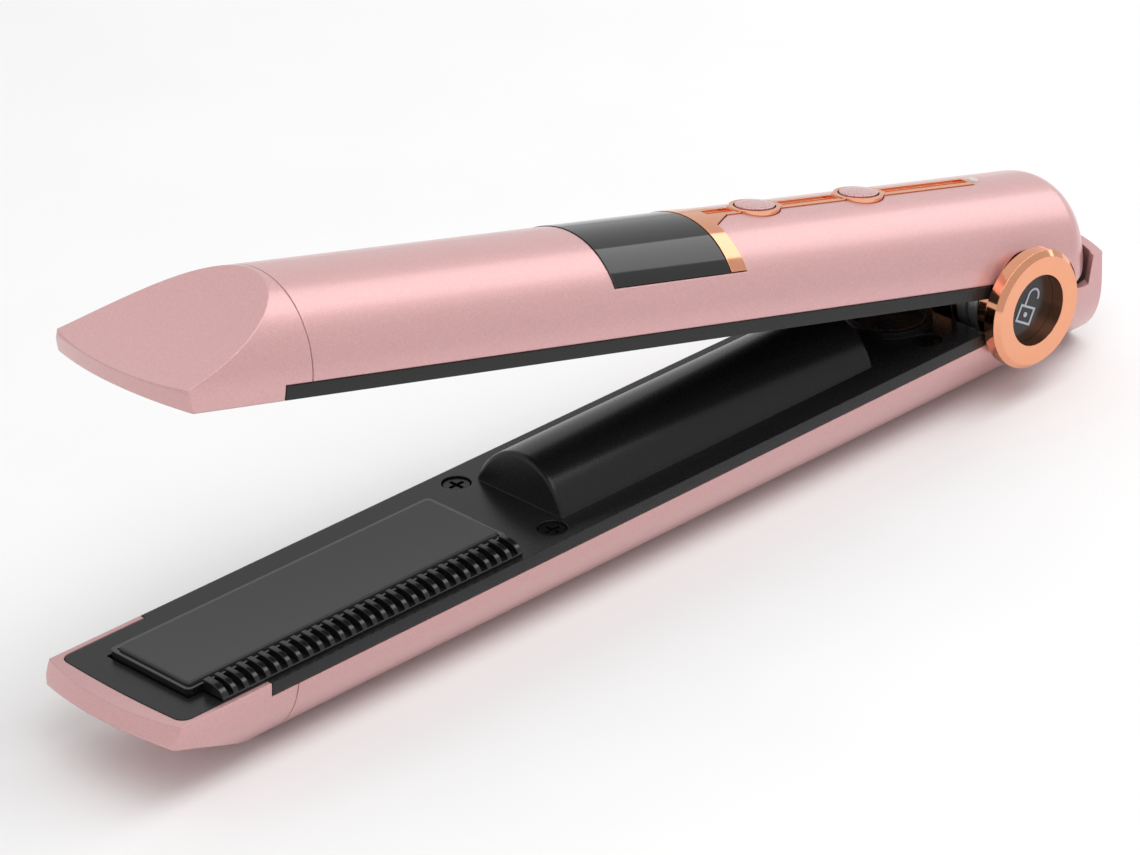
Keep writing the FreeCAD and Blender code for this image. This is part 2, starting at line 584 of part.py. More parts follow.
def upper_shell():
    """The upper pink shell, with its domed rear end and the openings in its crown."""
    front = "seam_x"
    rear_end = common("upper_rear_end",
                      arm_cylinder("upper_outside_rear", "arm_radius", ("-upper_rear - 1", "0")),
                      band("upper_rear_half", ("-upper_rear - 1", "0"), FAR, (PANEL, f"{CROWN} + 1")),
                      rear_bow("upper_rear_bow", "0", (f"{PANEL} - 1", f"{CROWN} + 2")))
    rear = figure("upper_rear")
    bow_side = figure("bow_radius") - figure("rear_x") + rear
    setback = bow_side - math.sqrt(bow_side ** 2 - figure("arm_radius") ** 2)

    def rear_rim(edge):
        return edge.CenterOfMass.x < setback - rear + 0.5 and edge.Curve.TypeId != "Part::GeomLine"

    domed_rear = round_edges("upper_domed_rear", rear_end, figure("rear_round"), rear_rim)
    ahead = common("upper_ahead", arm_cylinder("upper_outside", "arm_radius", ("0", front)),
                   band("upper_half", ("0", front), FAR, (PANEL, f"{CROWN} + 1")))
    domed = fuse("upper_domed", domed_rear, ahead)
    step = band("upper_step", ("skirt_front", f"{front} + 1"), FAR, (f"{PANEL} - 1", SHELL_EDGE))
    cavity_whole = common("upper_cavity_whole",
                          arm_cylinder("upper_cavity", INNER,
                                       ("-upper_rear + 2 * shell_wall", f"{front} + 1")),
                          band("upper_cavity_half", ("-upper_rear", f"{front} + 1"), FAR,
                               (f"{PANEL}", f"{CROWN} + 1")))
    inner_rear = rear - 2 * figure("shell_wall")

    def cavity_rim(edge):
        at_rear = abs(edge.CenterOfMass.x + inner_rear) < 1e-3
        return at_rear and edge.CenterOfMass.z > figure("panel_offset") + 1

    cavity = round_edges("upper_cavity_domed", cavity_whole, figure("rear_round") - figure("shell_wall"),
                         cavity_rim)
    hole = rod("upper_hub_hole", "y", HOLE_RADIUS, (f"-{FAR}", FAR))
    window = cut("upper_window_seat",
                 sector("upper_window_room", FAR, (TRIM_FRONT, f"{GLASS_FRONT} + fit_gap"),
                        "glass_angle + 0.6"),
                 arm_cylinder("upper_window_floor", "arm_radius + glass_proud - glass_thick - glue_gap",
                              (TRIM_FRONT, f"{GLASS_FRONT} + 1")))
    view = band("upper_view_hole", ("glass_rear + 2", f"{GLASS_FRONT} - 2"), "board_half - 1",
                (BOARD_TOP, FAR))
    trim_room = cut("upper_trim_seat", trim_outline("hole", "fit_gap", FAR, "0"),
                    arm_cylinder("upper_trim_floor", "arm_radius + trim_proud - trim_thick - glue_gap",
                                 ("0", f"{GLASS_FRONT} + 1")))
    lamp = rod("upper_lamp_hole", "z", "lamp_radius + pin_gap", (PANEL, FAR), (LAMP_X, "0"))
    presses = [oval(f"upper_{button}_hole", f"{button}_x", "button_gap", (PANEL, FAR))
               for button in ("power", "mode")]
    carved = cut("upper_carved", domed, step, cavity, hole, window, view, trim_room, lamp, *presses)
    return node("upper_shell", fuse("upper_shell_all", carved, bosses("upper")), "upper")


# ---------------------------------------------------------------- trim, display and buttons

LAMP_X = "(strip_rear - lamp_radius - 0.6)"


def trim_outline(tag, slack, high, low):
    """Band, flare, strip and button collars of the bright trim, seen from above, as one prism."""
    reach = sector(f"trim_{tag}_band", high, (f"{TRIM_REAR} - {slack}", f"{TRIM_FRONT} + {slack}"),
                   f"glass_angle + {slack} * 4")
    strip = band(f"trim_{tag}_strip", (f"strip_rear - {slack}", f"{TRIM_REAR} + 1"),
                 f"strip_half + {slack}", (low, high))
    body = new_body(f"trim_{tag}_flare")
    wide = f"flare_half + {slack}"
    narrow = f"strip_half + {slack}"
    corners = [(f"{TRIM_REAR} + 0.5", f"-({wide})"), (f"{TRIM_REAR} + 0.5", wide),
               (f"{TRIM_REAR} - flare_length", narrow), (f"{TRIM_REAR} - flare_length", f"-({narrow})")]
    pad(body, outline(body, f"trim_{tag}_flare_outline", "XY_Plane", corners, low), f"{high} - ({low})")
    collars = [oval(f"trim_{tag}_collar_{button}", f"{button}_x", slack, (low, high), "lens")
               for button in ("power", "mode")]
    return fuse(f"trim_{tag}_outline", reach, strip, body, *collars)


def oval(name, x, slack, z, kind="button"):
    """An upright elliptical prism the size of a button or its collar, grown by a clearance."""
    ellipse = DOC.addObject("Part::Ellipse", name + "_edge")
    bind(ellipse, at=(x, "0", z[0]), MajorRadius=f"{kind}_length + {slack}",
         MinorRadius=f"{kind}_half + {slack}")
    prism = DOC.addObject("Part::Extrusion", name)
    prism.Base = ellipse
    prism.DirMode = "Custom"
    prism.Dir = Z_AXIS
    prism.Solid = True
    return bind(prism, LengthFwd=f"{z[1]} - ({z[0]})")


def trim_strip():
    """The bright trim: band behind the window, flare, channelled strip and button collars."""
    outline_prism = trim_outline("solid", "0", FAR, "0")
    hoop = cut("trim_hoop",
               arm_cylinder("trim_outside", "arm_radius + trim_proud", ("0", GLASS_FRONT)),
               arm_cylinder("trim_inside", "arm_radius + trim_proud - trim_thick",
                            ("-1", f"{GLASS_FRONT} + 1")))
    upper_half = band("trim_upper_half", ("0", GLASS_FRONT), FAR, (PANEL, FAR))
    tops = [oval(f"trim_{button}_top", f"{button}_x", "lens_margin",
                 (f"{CROWN} - trim_thick / 2", f"{CROWN} + lens_rise"), "lens") for button in ("power",
                                                                                               "mode")]
    solid = common("trim_solid", outline_prism, fuse("trim_raised", hoop, *tops), upper_half)
    channel_floor = f"{CROWN} + trim_proud - channel_depth"
    clear = "(lens_length + 2 * lens_margin)"
    stretches = [("strip_rear + 0.8", f"mode_x - {clear}"), (f"mode_x + {clear}", f"power_x - {clear}"),
                 (f"power_x + {clear}", f"{TRIM_REAR} - 1")]
    channels = [band(f"trim_channel_{number}", span, "channel_half", (channel_floor, FAR))
                for number, span in enumerate(stretches)]
    holes = [oval(f"trim_{button}_hole", f"{button}_x", "button_gap", (PANEL, FAR))
             for button in ("power", "mode")]
    return node("trim_strip", cut("trim_cut", solid, *channels, *holes), "upper")


def display_window():
    """The glossy black window wrapped over the upper arm."""
    slice_ = sector("glass_slice", "arm_radius + glass_proud", ("glass_rear", GLASS_FRONT), "glass_angle")
    inside = arm_cylinder("glass_inside", "arm_radius + glass_proud - glass_thick",
                          ("glass_rear - 1", f"{GLASS_FRONT} + 1"))
    return node("display_window", cut("glass_cut", slice_, inside), "upper")


def display_module():
    """The light-up digit display on the control board, under the window."""
    body = new_body("display_body")
    rear = "glass_rear + 3"
    front = f"{GLASS_FRONT} - 3"
    half = "board_half - 2"
    corners = [(rear, f"-({half})"), (front, f"-({half})"), (front, half), (rear, half)]
    pad(body, outline(body, "display_outline", "XY_Plane", corners, BOARD_TOP), "3.4")
    return node("display_module", body, "upper")


def button(name):
    """An oval button: domed head, retaining flange under the shell, and stem over its switch."""
    x = f"{name}_x"
    crown = f"{CROWN} + button_rise"
    shoulder = f"{crown} - button_dome"
    head = oval(f"{name}_head", x, "0", (f"{BUTTON_FLANGE} - 0.6", shoulder))
    dome = DOC.addObject("Part::Ellipsoid", f"{name}_dome")
    bind(dome, at=(x, "0", shoulder), Radius1="button_dome", Radius2="button_length",
         Radius3="button_half")
    flange = band(f"{name}_flange", (f"{x} - button_length - 0.6", f"{x} + button_length + 0.6"),
                  "button_half + 0.3", (f"{BUTTON_FLANGE} - 0.7", f"{BUTTON_FLANGE} - 0.1"))
    flange_fit = common(f"{name}_flange_fit", flange,
                        arm_cylinder(f"{name}_flange_limit", f"{INNER} - fit_gap", ("0", GLASS_FRONT)))
    stem = rod(f"{name}_stem", "z", "stem_radius",
               (f"{BOARD_TOP} + switch_height + button_travel + fit_gap", BUTTON_FLANGE), (x, "0"))
    return node(f"{name}_button", fuse(f"{name}_all", head, dome, flange_fit, stem), "upper")


def status_light():
    """The small clear light at the rear end of the strip."""
    pipe = rod("lamp_pipe", "z", "lamp_radius", (f"{CROWN} - shell_wall - 1", f"{CROWN} - 0.2"),
               (LAMP_X, "0"))
    dome = DOC.addObject("Part::Sphere", "lamp_dome")
    bind(dome, at=(LAMP_X, "0", f"{CROWN} - 0.2"), Radius="lamp_radius")
    low = common("lamp_low", dome, rod("lamp_limit", "z", "lamp_radius",
                                       (f"{CROWN} - 0.4", f"{CROWN} + 0.3"), (LAMP_X, "0")))
    return node("status_light", fuse("lamp_all", pipe, low), "upper")


# ---------------------------------------------------------------- trays

def tray_blank(side):
    """A tray's slab: full width with side bands, and a narrower front inside the nose cap."""
    wide = common(f"{side}_tray_wide",
                  arm_cylinder(f"{side}_tray_round", "arm_radius", ("tray_rear", NOTCH)),
                  band(f"{side}_tray_band", ("tray_rear", NOTCH), FAR, (PANEL, BAND)))
    return fuse(f"{side}_tray_blank", wide, tray_front_prism("tray", side, "0", (PANEL, BAND)))


def tray_openings(side):
    """The opening for the plate and the sunk screw holes."""
    opening = band(f"{side}_plate_opening",
                   ("plate_rear - frame_border - run_gap", f"{PLATE_FRONT} + frame_border + run_gap"),
                   f"{FRAME_HALF} + run_gap", (f"{PANEL} - 1", f"{BAND} + 1"))
    sinks = [rod(f"{side}_sink_{tag}", "z", "screw_head + 0.3",
                 (f"{PANEL} - 1", f"{PANEL} + screw_sunk + screw_head_height"), (x, y))
             for x, y, tag in screw_places()]
    holes = [rod(f"{side}_hole_{tag}", "z", "screw_shank + 0.1", (PANEL, f"{BAND} + 1"), (x, y))
             for x, y, tag in screw_places()]
    return [opening, *sinks, *holes]


def bump_solid(name, radius, rear, front, lean):
    """The rounded cover over the battery: a cylinder with a front face that leans back."""
    barrel = rod(f"{name}_barrel", "x", radius, (rear, front), ("0", CELL_AXIS))
    body = new_body(f"{name}_side")
    low = f"{CELL_AXIS}"
    high = f"{CELL_AXIS} - {radius} - 1"
    corners = [(rear, high), (f"{front} - {lean}", high), (front, low), (front, f"{BAND} + 12"),
               (rear, f"{BAND} + 12")]
    pad(body, outline(body, f"{name}_side_outline", "XZ_Plane", corners), f"2 * {FAR}", both_ways=True)
    return common(name, barrel, body)


def lower_tray():
    """The lower black tray, with the rounded cover of the battery and the spring cup."""
    cover = bump_solid("bump", BUMP_RADIUS, BUMP_REAR, BUMP_FRONT, "bump_draft")
    cover_up = common("bump_up", cover, band("bump_keep", (BUMP_REAR, BUMP_FRONT), FAR, ("-20", BAND)))
    soft = round_edges("bump_soft", cover_up, 0.8, bump_front_edge)
    cup = cut("spring_cup", rod("cup_outer", "z", "lug_radius", (f"{PANEL} - 1.2", BAND),
                                 ("tray_rear + lug_radius", "0")),
              rod("cup_inner", "z", "lug_radius - 1.2", (f"{PANEL} - 2", f"{PANEL} + 0.6"),
                  ("tray_rear + lug_radius", "0")))
    room = bump_solid("cell_room", BUMP_INNER, f"{BUMP_REAR} + bump_wall", f"{BUMP_FRONT} - bump_wall",
                      "bump_draft")
    blank = fuse("lower_tray_solid", tray_blank("lower"), soft, cup)
    return node("lower_tray", cut("lower_tray_cut", blank, room, *tray_openings("lower")), "lower")


def bump_front_edge(edge):
    """The curved edges round the front and rear faces of the battery cover."""
    rear = figure("cell_rear") - figure("cell_end_gap") - figure("bump_wall")
    front = figure("cell_rear") + figure("cell_length") + figure("cell_end_gap") + figure("bump_wall")
    at = edge.CenterOfMass
    straight = edge.Curve.TypeId == "Part::GeomLine"
    near_end = at.x > front - 4 or at.x < rear + 1
    return near_end and not straight and at.z < figure("panel_offset")


def upper_tray():
    """The upper black tray, hollowed where the battery cover closes into it."""
    roof = "(bump_wall + recess_gap)"
    rear = f"{BUMP_REAR} - 3 * recess_gap"
    front = f"{BUMP_FRONT} + recess_gap"
    room = rod("recess_room", "x", f"{BUMP_RADIUS} + recess_gap", (rear, front), ("0", f"-{CELL_AXIS}"))
    cover = common("recess_cover",
                   rod("recess_outer", "x", f"{BUMP_RADIUS} + {roof}",
                       (f"{rear} - bump_wall", f"{front} + bump_wall"),
                       ("0", f"-{CELL_AXIS}")),
                   band("recess_keep", (f"{rear} - bump_wall", f"{front} + bump_wall"), FAR,
                        (PANEL, CROWN)))
    posts = [rod(f"board_post_{number}", "z", "1.5", (PANEL, "board_level"), (x, y))
             for number, (x, y) in enumerate(board_posts())]
    legs = cut("board_legs", fuse("board_post_set", *posts),
               rod("recess_room_again", "x", f"{BUMP_RADIUS} + recess_gap + bump_wall / 2", (rear, front),
                   ("0", f"-{CELL_AXIS}")))
    blank = fuse("upper_tray_solid", tray_blank("upper"), cover, legs)
    return node("upper_tray", cut("upper_tray_cut", blank, room, *tray_openings("upper")), "upper")


def board_posts():
    """Where the control board stands on the upper tray."""
    rear = "board_rear + 2"
    front = "board_rear + board_length - 2"
    side = "board_half - 2"
    return [(rear, side), (rear, f"-({side})"), (front, side), (front, f"-({side})")]


def tray_screws(side):
    """The cross-head screws that hold a tray to its shell."""
    screws = []
    top = f"{PANEL} + screw_sunk"
    under = f"({top} + screw_head_height)"
    for x, y, tag in screw_places():
        key = f"{side}_screw_{tag}"
        head = rod(f"{key}_head", "z", "screw_head", (top, under), (x, y))
        shank = rod(f"{key}_shank", "z", "screw_shank", (under, f"{under} + screw_length"), (x, y))
        slot = "screw_head * 0.68"
        narrow = "screw_head * 0.16"
        cross = [box(f"{key}_slot_a", (f"{x} - {slot}", f"{x} + {slot}"),
                     (f"{y} - {narrow}", f"{y} + {narrow}"),
                     (f"{top} - 1", f"{top} + 0.55")),
                 box(f"{key}_slot_b", (f"{x} - {narrow}", f"{x} + {narrow}"),
                     (f"{y} - {slot}", f"{y} + {slot}"),
                     (f"{top} - 1", f"{top} + 0.55"))]
        screws.append(cut(f"{key}", fuse(f"{key}_blank", head, shank), *cross))
    return node(f"{side}_tray_screws", group(f"{side}_screw_group", screws), side)


# ---------------------------------------------------------------- heated plates

def heat_plate(side):
    """The heated plate, with softened edges."""
    body = new_body(f"{side}_plate_body")
    corners = [("plate_rear", "-plate_half"), (PLATE_FRONT, "-plate_half"), (PLATE_FRONT, "plate_half"),
               ("plate_rear", "plate_half")]
    raised = pad(body, outline(body, f"{side}_plate_outline", "XY_Plane", corners, PLATE_FACE),
                 "plate_thick")
    DOC.recompute()
    uprights = body.newObject("PartDesign::Fillet", f"{side}_plate_corners")
    uprights.Base = (raised, edge_names(raised, lambda edge: edge_run(edge, Z_AXIS)))
    uprights.setExpression("Radius", formula("plate_corner"))
    DOC.recompute()
    face_level = figure("panel_offset") - figure("plate_proud")
    rim = body.newObject("PartDesign::Fillet", f"{side}_plate_rim")
    rim.Base = (uprights, edge_names(uprights, lambda edge: abs(edge.BoundBox.ZMax - face_level) < 1e-3))
    rim.setExpression("Radius", formula("plate_round"))
    return node(f"{side}_heat_plate", body, side)


def edge_names(feature, wanted):
    """The names of a feature's edges for which wanted(edge) is true."""
    return [f"Edge{number}" for number, edge in enumerate(feature.Shape.Edges, 1) if wanted(edge)]


def plate_frame(side):
    """The black frame that carries the plate and slides in the tray's opening."""
    x = ("plate_rear - frame_border", f"{PLATE_FRONT} + frame_border")
    column = band(f"{side}_frame_column", x, FRAME_HALF, (f"{PANEL} - frame_proud", FRAME_BACK))
    column = round_edges(f"{side}_frame_round", column, figure("plate_corner") + 0.2,
                         lambda edge: edge_run(edge, Z_AXIS))
    flange = band(f"{side}_frame_flange", (f"{x[0]} - flange_out", f"{x[1]} + flange_out"),
                  f"{FRAME_HALF} + flange_out", (FLANGE_TOP, FRAME_BACK))
    seat = band(f"{side}_frame_seat", ("plate_rear - glue_gap", f"{PLATE_FRONT} + glue_gap"),
                "plate_half + glue_gap",
                (PLATE_FACE, PLATE_BACK))
    well = band(f"{side}_frame_well", ("plate_rear + frame_ledge", f"{PLATE_FRONT} - frame_ledge"),
                "plate_half - frame_ledge", (PLATE_FACE, SHIELD_BACK))
    return node(f"{side}_plate_frame",
                cut(f"{side}_frame", fuse(f"{side}_frame_blank", column, flange), seat, well),
                side)


def heater_stack(side):
    """The ceramic heater under the plate, and the insulating pad behind it."""
    x = ("plate_rear + frame_ledge + fit_gap", f"{PLATE_FRONT} - frame_ledge - fit_gap")
    half = "plate_half - frame_ledge - fit_gap"
    heater = band(f"{side}_heater_slab", x, half, (PLATE_BACK, HEATER_BACK))
    shield = band(f"{side}_shield_slab", x, half, (HEATER_BACK, SHIELD_BACK))
    node(f"{side}_heater", heater, side)
    node(f"{side}_heat_shield", shield, side)


def plate_springs(side):
    """Two coil springs that push the plate frame out against the tray."""
    coils = []
    for number, x in enumerate(("plate_rear + spring_inset", f"{PLATE_FRONT} - spring_inset")):
        helix = DOC.addObject("Part::Helix", f"{side}_spring_path_{number}")
        wire_radius = "spring_wire / 2"
        bind(helix, at=(x, "0", f"{FRAME_BACK} + {wire_radius} + glue_gap"), Radius="spring_radius",
             Height="spring_length - spring_wire - 2 * glue_gap",
             Pitch=f"(spring_length - spring_wire - 2 * glue_gap) / {SPRING_TURNS}")
        helix.SegmentLength = 1
        wire = DOC.addObject("Part::Circle", f"{side}_spring_wire_{number}")
        wire.Placement = FreeCAD.Placement(FreeCAD.Vector(), FreeCAD.Rotation(X_AXIS, 90))
        bind(wire, at=(f"{x} + spring_radius", "0", f"{FRAME_BACK} + {wire_radius} + glue_gap"),
             Radius=wire_radius)
        coil = DOC.addObject("Part::Sweep", f"{side}_spring_{number}")
        coil.Sections = [wire]
        coil.Spine = (helix, [])
        coil.Solid = True
        coil.Frenet = True
        coils.append(coil)
    return node(f"{side}_plate_springs", group(f"{side}_spring_pair", coils), side)


def comb_strip():
    """The row of arched teeth beside the lower plate, on the lock ring's side."""
    body = new_body("comb_body")
    inner = f"({FRAME_HALF} + run_gap + 0.05)"
    outer = f"({inner} + comb_width)"
    middle = f"({inner} + comb_width * 0.62)"
    rear = "plate_rear + 0.6"
    length = f"comb_pitch * {COMB_TEETH - 1} + comb_thick"
    base = [(f"-{outer}", f"{PANEL} - comb_base"), (f"-{inner}", f"{PANEL} - comb_base"),
            (f"-{inner}", PANEL),
            (f"-{outer}", PANEL)]
    pad(body, outline(body, "comb_base_outline", "YZ_Plane", base, rear), length)
    crest = f"{PANEL} - comb_height"
    shoulder = f"{PANEL} - comb_height * 0.72"
    tooth = [(f"-{inner}", PANEL), (f"-{inner}", crest), (f"-({inner} + comb_width * 0.3)", crest),
             (f"-{middle}", shoulder), (f"-({outer} - comb_width * 0.12)", f"{PANEL} - comb_height * 0.4"),
             (f"-{outer}", f"{PANEL} - comb_base"), (f"-{outer}", PANEL)]
    first = pad(body, outline(body, "comb_tooth_outline", "YZ_Plane", tooth, rear), "comb_thick")
    DOC.recompute()
    row = body.newObject("PartDesign::LinearPattern", "comb_row")
    row.Originals = [first]
    row.Direction = (origin_axis(body, "X_Axis"), [""])
    row.Occurrences = COMB_TEETH
    row.Mode = "Spacing"
    row.setExpression("Offset", formula("comb_pitch"))
    body.Tip = row
    return node("comb_strip", body, "lower")


def origin_axis(body, role):
    """One of a body's own three axes."""
    return next(axis for axis in body.Origin.OriginFeatures if axis.Role == role)


# ---------------------------------------------------------------- battery and electronics

def battery():
    """The round cell, its two contact tabs and the cradle under it."""
    end = "cell_rear + cell_length"
    cell = rod("cell_can", "x", "cell_radius", ("cell_rear", f"{end} - 0.6"), ("0", CELL_AXIS))
    cap = rod("cell_button", "x", "cell_radius * 0.35", (f"{end} - 0.7", end), ("0", CELL_AXIS))
    node("battery_cell", fuse("cell_all", cell, cap), "lower")
    for name, span in (("rear", ("cell_rear - tab_thick", "cell_rear")),
                       ("front", (end, f"{end} + tab_thick"))):
        tab = band(f"tab_{name}", span, "cell_radius * 0.4", (f"{CELL_AXIS} - 3", f"{CELL_AXIS} + 7"))
        node(f"battery_tab_{name}", tab, "lower")
    saddles = [band(f"saddle_{number}", (x, f"{x} + 4"), "cell_radius", (f"{CELL_AXIS} + 4", CROWN))
               for number, x in enumerate(("cell_rear + 6", f"{end} - 12"))]
    spine = band("saddle_spine", ("cell_rear + 6", f"{end} - 8"), "2.5",
                 (f"{CELL_AXIS} + cell_radius", CROWN))
    limited = common("cradle_limited", fuse("cradle_blank", spine, *saddles),
                     arm_cylinder("cradle_limit", f"{INNER} - glue_gap", ("cell_rear", end)))
    cradle = cut("cradle_cut", limited,
                 rod("cradle_bed", "x", "cell_radius + pin_gap", ("cell_rear", end), ("0", CELL_AXIS)))
    node("battery_cradle", cradle, "lower")


def charging_socket():
    """The charging socket in the rear wall, and the little board that it sits on."""
    front = "-rear_x + 0.3 + port_length"
    shell = band("port_shell", ("-rear_x + 0.3", front), "port_half", ("port_level", PORT_BACK))
    mouth = band("port_mouth", ("-rear_x - 1", f"{front} - 1"), "port_half - port_wall",
                 ("port_level + port_wall", f"{PORT_BACK} - port_wall"))
    tongue = band("port_tongue", ("-rear_x + 1.2", f"{front} - 0.5"), "port_half - 1.2",
                  ("port_level + port_height / 2 - port_wall", "port_level + port_height / 2 + port_wall"))
    node("charge_port", fuse("port_all", cut("port_cut", shell, mouth), tongue), "lower")
    board = band("charge_board_slab", ("-rear_x + 3", "-2"), "port_half + 1.5",
                 (PORT_BACK, f"{PORT_BACK} + charge_thick"))
    node("charge_board", board, "lower")


def control_electronics():
    """The control board, its switches under the buttons, and its chips."""
    body = new_body("board_body")
    front = "board_rear + board_length"
    corners = [("board_rear", "-board_half"), (front, "-board_half"), (front, "board_half"),
               ("board_rear", "board_half")]
    pad(body, outline(body, "board_outline", "XY_Plane", corners, "board_level"), "board_thick")
    node("control_board", body, "upper")
    switches = [band(f"switch_{name}", (f"{name}_x - 2.2", f"{name}_x + 2.2"), "2.2",
                     (BOARD_TOP, f"{BOARD_TOP} + switch_height")) for name in ("power", "mode")]
    node("button_switches", group("switch_pair", switches), "upper")
    middle = "(power_x + mode_x) / 2"
    chips = [box("chip_controller", (f"{middle} - 3.5", f"{middle} + 3.5"), ("-3.5", "3.5"),
                 (BOARD_TOP, f"{BOARD_TOP} + 1.1")),
             box("chip_driver", ("power_x + 6", "power_x + 12"), ("-6", "-1"),
                 (BOARD_TOP, f"{BOARD_TOP} + 1.4")),
             box("chip_coil", ("power_x + 6", "power_x + 12"), ("0.5", "6.5"),
                 (BOARD_TOP, f"{BOARD_TOP} + 2.4"))]
    node("board_chips", group("chip_set", chips), "upper")


# ---------------------------------------------------------------- hinge

def mirrored_pair(name, make, start, end):
    """Two copies of a piece, one on each side of the arm's middle plane."""
    return [make(f"{name}_plus", (start, end)), make(f"{name}_minus", (f"-{end}", f"-{start}"))]


def hinge_bracket(side):
    """The bracket of one arm: a base under the barrel and two lugs round the pin."""
    start, end = (LOWER_LUG, LOWER_LUG_END) if side == "lower" else (UPPER_LUG, UPPER_LUG_END)

    def disc(name, span):
        return rod(name, "y", "lug_radius", span)

    def web(name, span):
        return box(name, ("-lug_radius + 0.5", "lug_radius - 0.5"), span, ("0", BRACKET_BACK))

    base = band(f"{side}_bracket_base", ("-lug_radius + 0.5", "bracket_front"), end,
                (BRACKET, BRACKET_BACK))
    blank = fuse(f"{side}_bracket_blank", base, *mirrored_pair(f"{side}_lug", disc, start, end),
                 *mirrored_pair(f"{side}_web", web, start, end))
    limited = common(f"{side}_bracket_limited", blank,
                     fuse(f"{side}_bracket_limit",
                          arm_cylinder(f"{side}_bracket_round", f"{INNER} - fit_gap",
                                       ("-12", "bracket_front")),
                          band(f"{side}_bracket_high", ("-12", "bracket_front"), f"{INNER} - fit_gap",
                               ("-lug_radius - 1", PANEL))))
    bore = rod(f"{side}_bracket_bore", "y", "pin_radius + pin_gap", (f"-{FAR}", FAR))
    return node(f"{side}_hinge_bracket", cut(f"{side}_bracket", limited, bore), side)


def hinge_barrel():
    """The bright cross barrel between the lugs, hollow for the opening spring."""
    tube = cut("barrel_tube", rod("barrel_outer", "y", "barrel_radius", ("-barrel_half", "barrel_half")),
               rod("barrel_inner", "y", "barrel_radius - barrel_wall",
                   ("-barrel_half - 1", "barrel_half + 1")))
    foot = box("barrel_foot", ("-3", "3"), ("-barrel_half + 1", "barrel_half - 1"),
               (f"-{BRACKET}", "-barrel_radius + 0.8"))
    return node("hinge_barrel", fuse("barrel_all", tube, foot), "hinge")


def hinge_pin():
    """The steel pin that both arms turn on, with its head and the groove of its clip."""
    body = new_body("pin_body")
    head = f"{LOWER_LUG_END} + pin_head"
    groove = f"{LOWER_LUG_END} + 0.25"
    end = f"({RING_BACK} + cap_hollow)"
    corners = [("0", f"-{end}"), ("pin_radius", f"-{end}"),
               ("pin_radius", f"-({groove} + clip_thick)"),
               ("pin_radius - groove_deep", f"-({groove} + clip_thick)"),
               ("pin_radius - groove_deep", f"-({groove})"), ("pin_radius", f"-({groove})"),
               ("pin_radius", f"{LOWER_LUG_END}"), ("pin_radius + pin_rim", f"{LOWER_LUG_END}"),
               ("pin_radius + pin_rim", head), ("0", head)]
    revolve(body, outline(body, "pin_outline", "XY_Plane", corners), "V_Axis")
    clip = cut("clip_cut",
               rod("clip_disc", "y", "pin_radius + 1.3",
                   (f"-({groove} + clip_thick - glue_gap)", f"-({groove} + glue_gap)")),
               rod("clip_hole", "y", "pin_radius - 0.55", (f"-{FAR}", FAR)),
               box("clip_mouth", ("-1.6", "1.6"), (f"-{FAR}", "0"), ("-8", "0")))
    node("hinge_pin", body, "hinge")
    return node("pin_clip", clip, "hinge")


def hinge_washers():
    """The thin washers between neighbouring lugs."""
    washers = []
    for name, middle in (("inner", f"(barrel_half + lug_gap / 2)"),
                         ("outer", f"({UPPER_LUG_END} + lug_gap / 2)")):
        for sign, tag in (("", "plus"), ("-", "minus")):
            centre = f"{sign}{middle}"
            disc = rod(f"washer_{name}_{tag}", "y", "lug_radius - 1.5",
                       (f"{centre} - washer_thick / 2", f"{centre} + washer_thick / 2"))
            hole = rod(f"washer_{name}_{tag}_hole", "y", "pin_radius + pin_gap", (f"-{FAR}", FAR))
            washers.append(cut(f"washer_{name}_{tag}_ring", disc, hole))
    return node("hinge_washers", group("washer_set", washers), "hinge")


def opening_spring():
    """The coil spring round the hinge pin that pushes the arms apart."""
    helix = DOC.addObject("Part::Helix", "opening_path")
    helix.Placement = FreeCAD.Placement(FreeCAD.Vector(), FreeCAD.Rotation(X_AXIS, -90))
    length = "(2 * barrel_half - 3)"
    bind(helix, at=("0", f"-{length} / 2", "0"), Radius="pin_radius + 1.9", Height=length,
         Pitch=f"{length} / 6")
    helix.SegmentLength = 1
    wire = DOC.addObject("Part::Circle", "opening_wire")
    bind(wire, at=("pin_radius + 1.9", f"-{length} / 2", "0"), Radius="0.5")
    coil = DOC.addObject("Part::Sweep", "opening_coil")
    coil.Sections = [wire]
    coil.Spine = (helix, [])
    coil.Solid = True
    coil.Frenet = True
    return node("opening_spring", coil, "hinge")


def ring_body(name, floor, dial_level=None):
    """A bevelled round cap on a hub, turned about the hinge axis; the lock ring has a window."""
    body = new_body(name)
    hub_end = f"(arm_radius - hub_length)"
    corners = [("hub_radius - hub_wall", hub_end), ("hub_radius", hub_end), ("hub_radius", RING_BACK),
               ("ring_radius - 0.3", RING_BACK), ("ring_radius", f"{RING_BACK} + 0.3"),
               ("ring_radius", f"{RING_FACE} - ring_chamfer"), ("ring_radius - ring_chamfer", RING_FACE)]
    if dial_level:
        corners += [("ring_window", f"{RING_FACE} - 0.25"), ("ring_window", dial_level), ("0", dial_level)]
    else:
        corners += [("0", RING_FACE)]
    corners += [("0", floor), ("hub_radius - hub_wall", floor)]
    revolve(body, outline(body, name + "_outline", "XY_Plane", corners), "V_Axis")
    return body


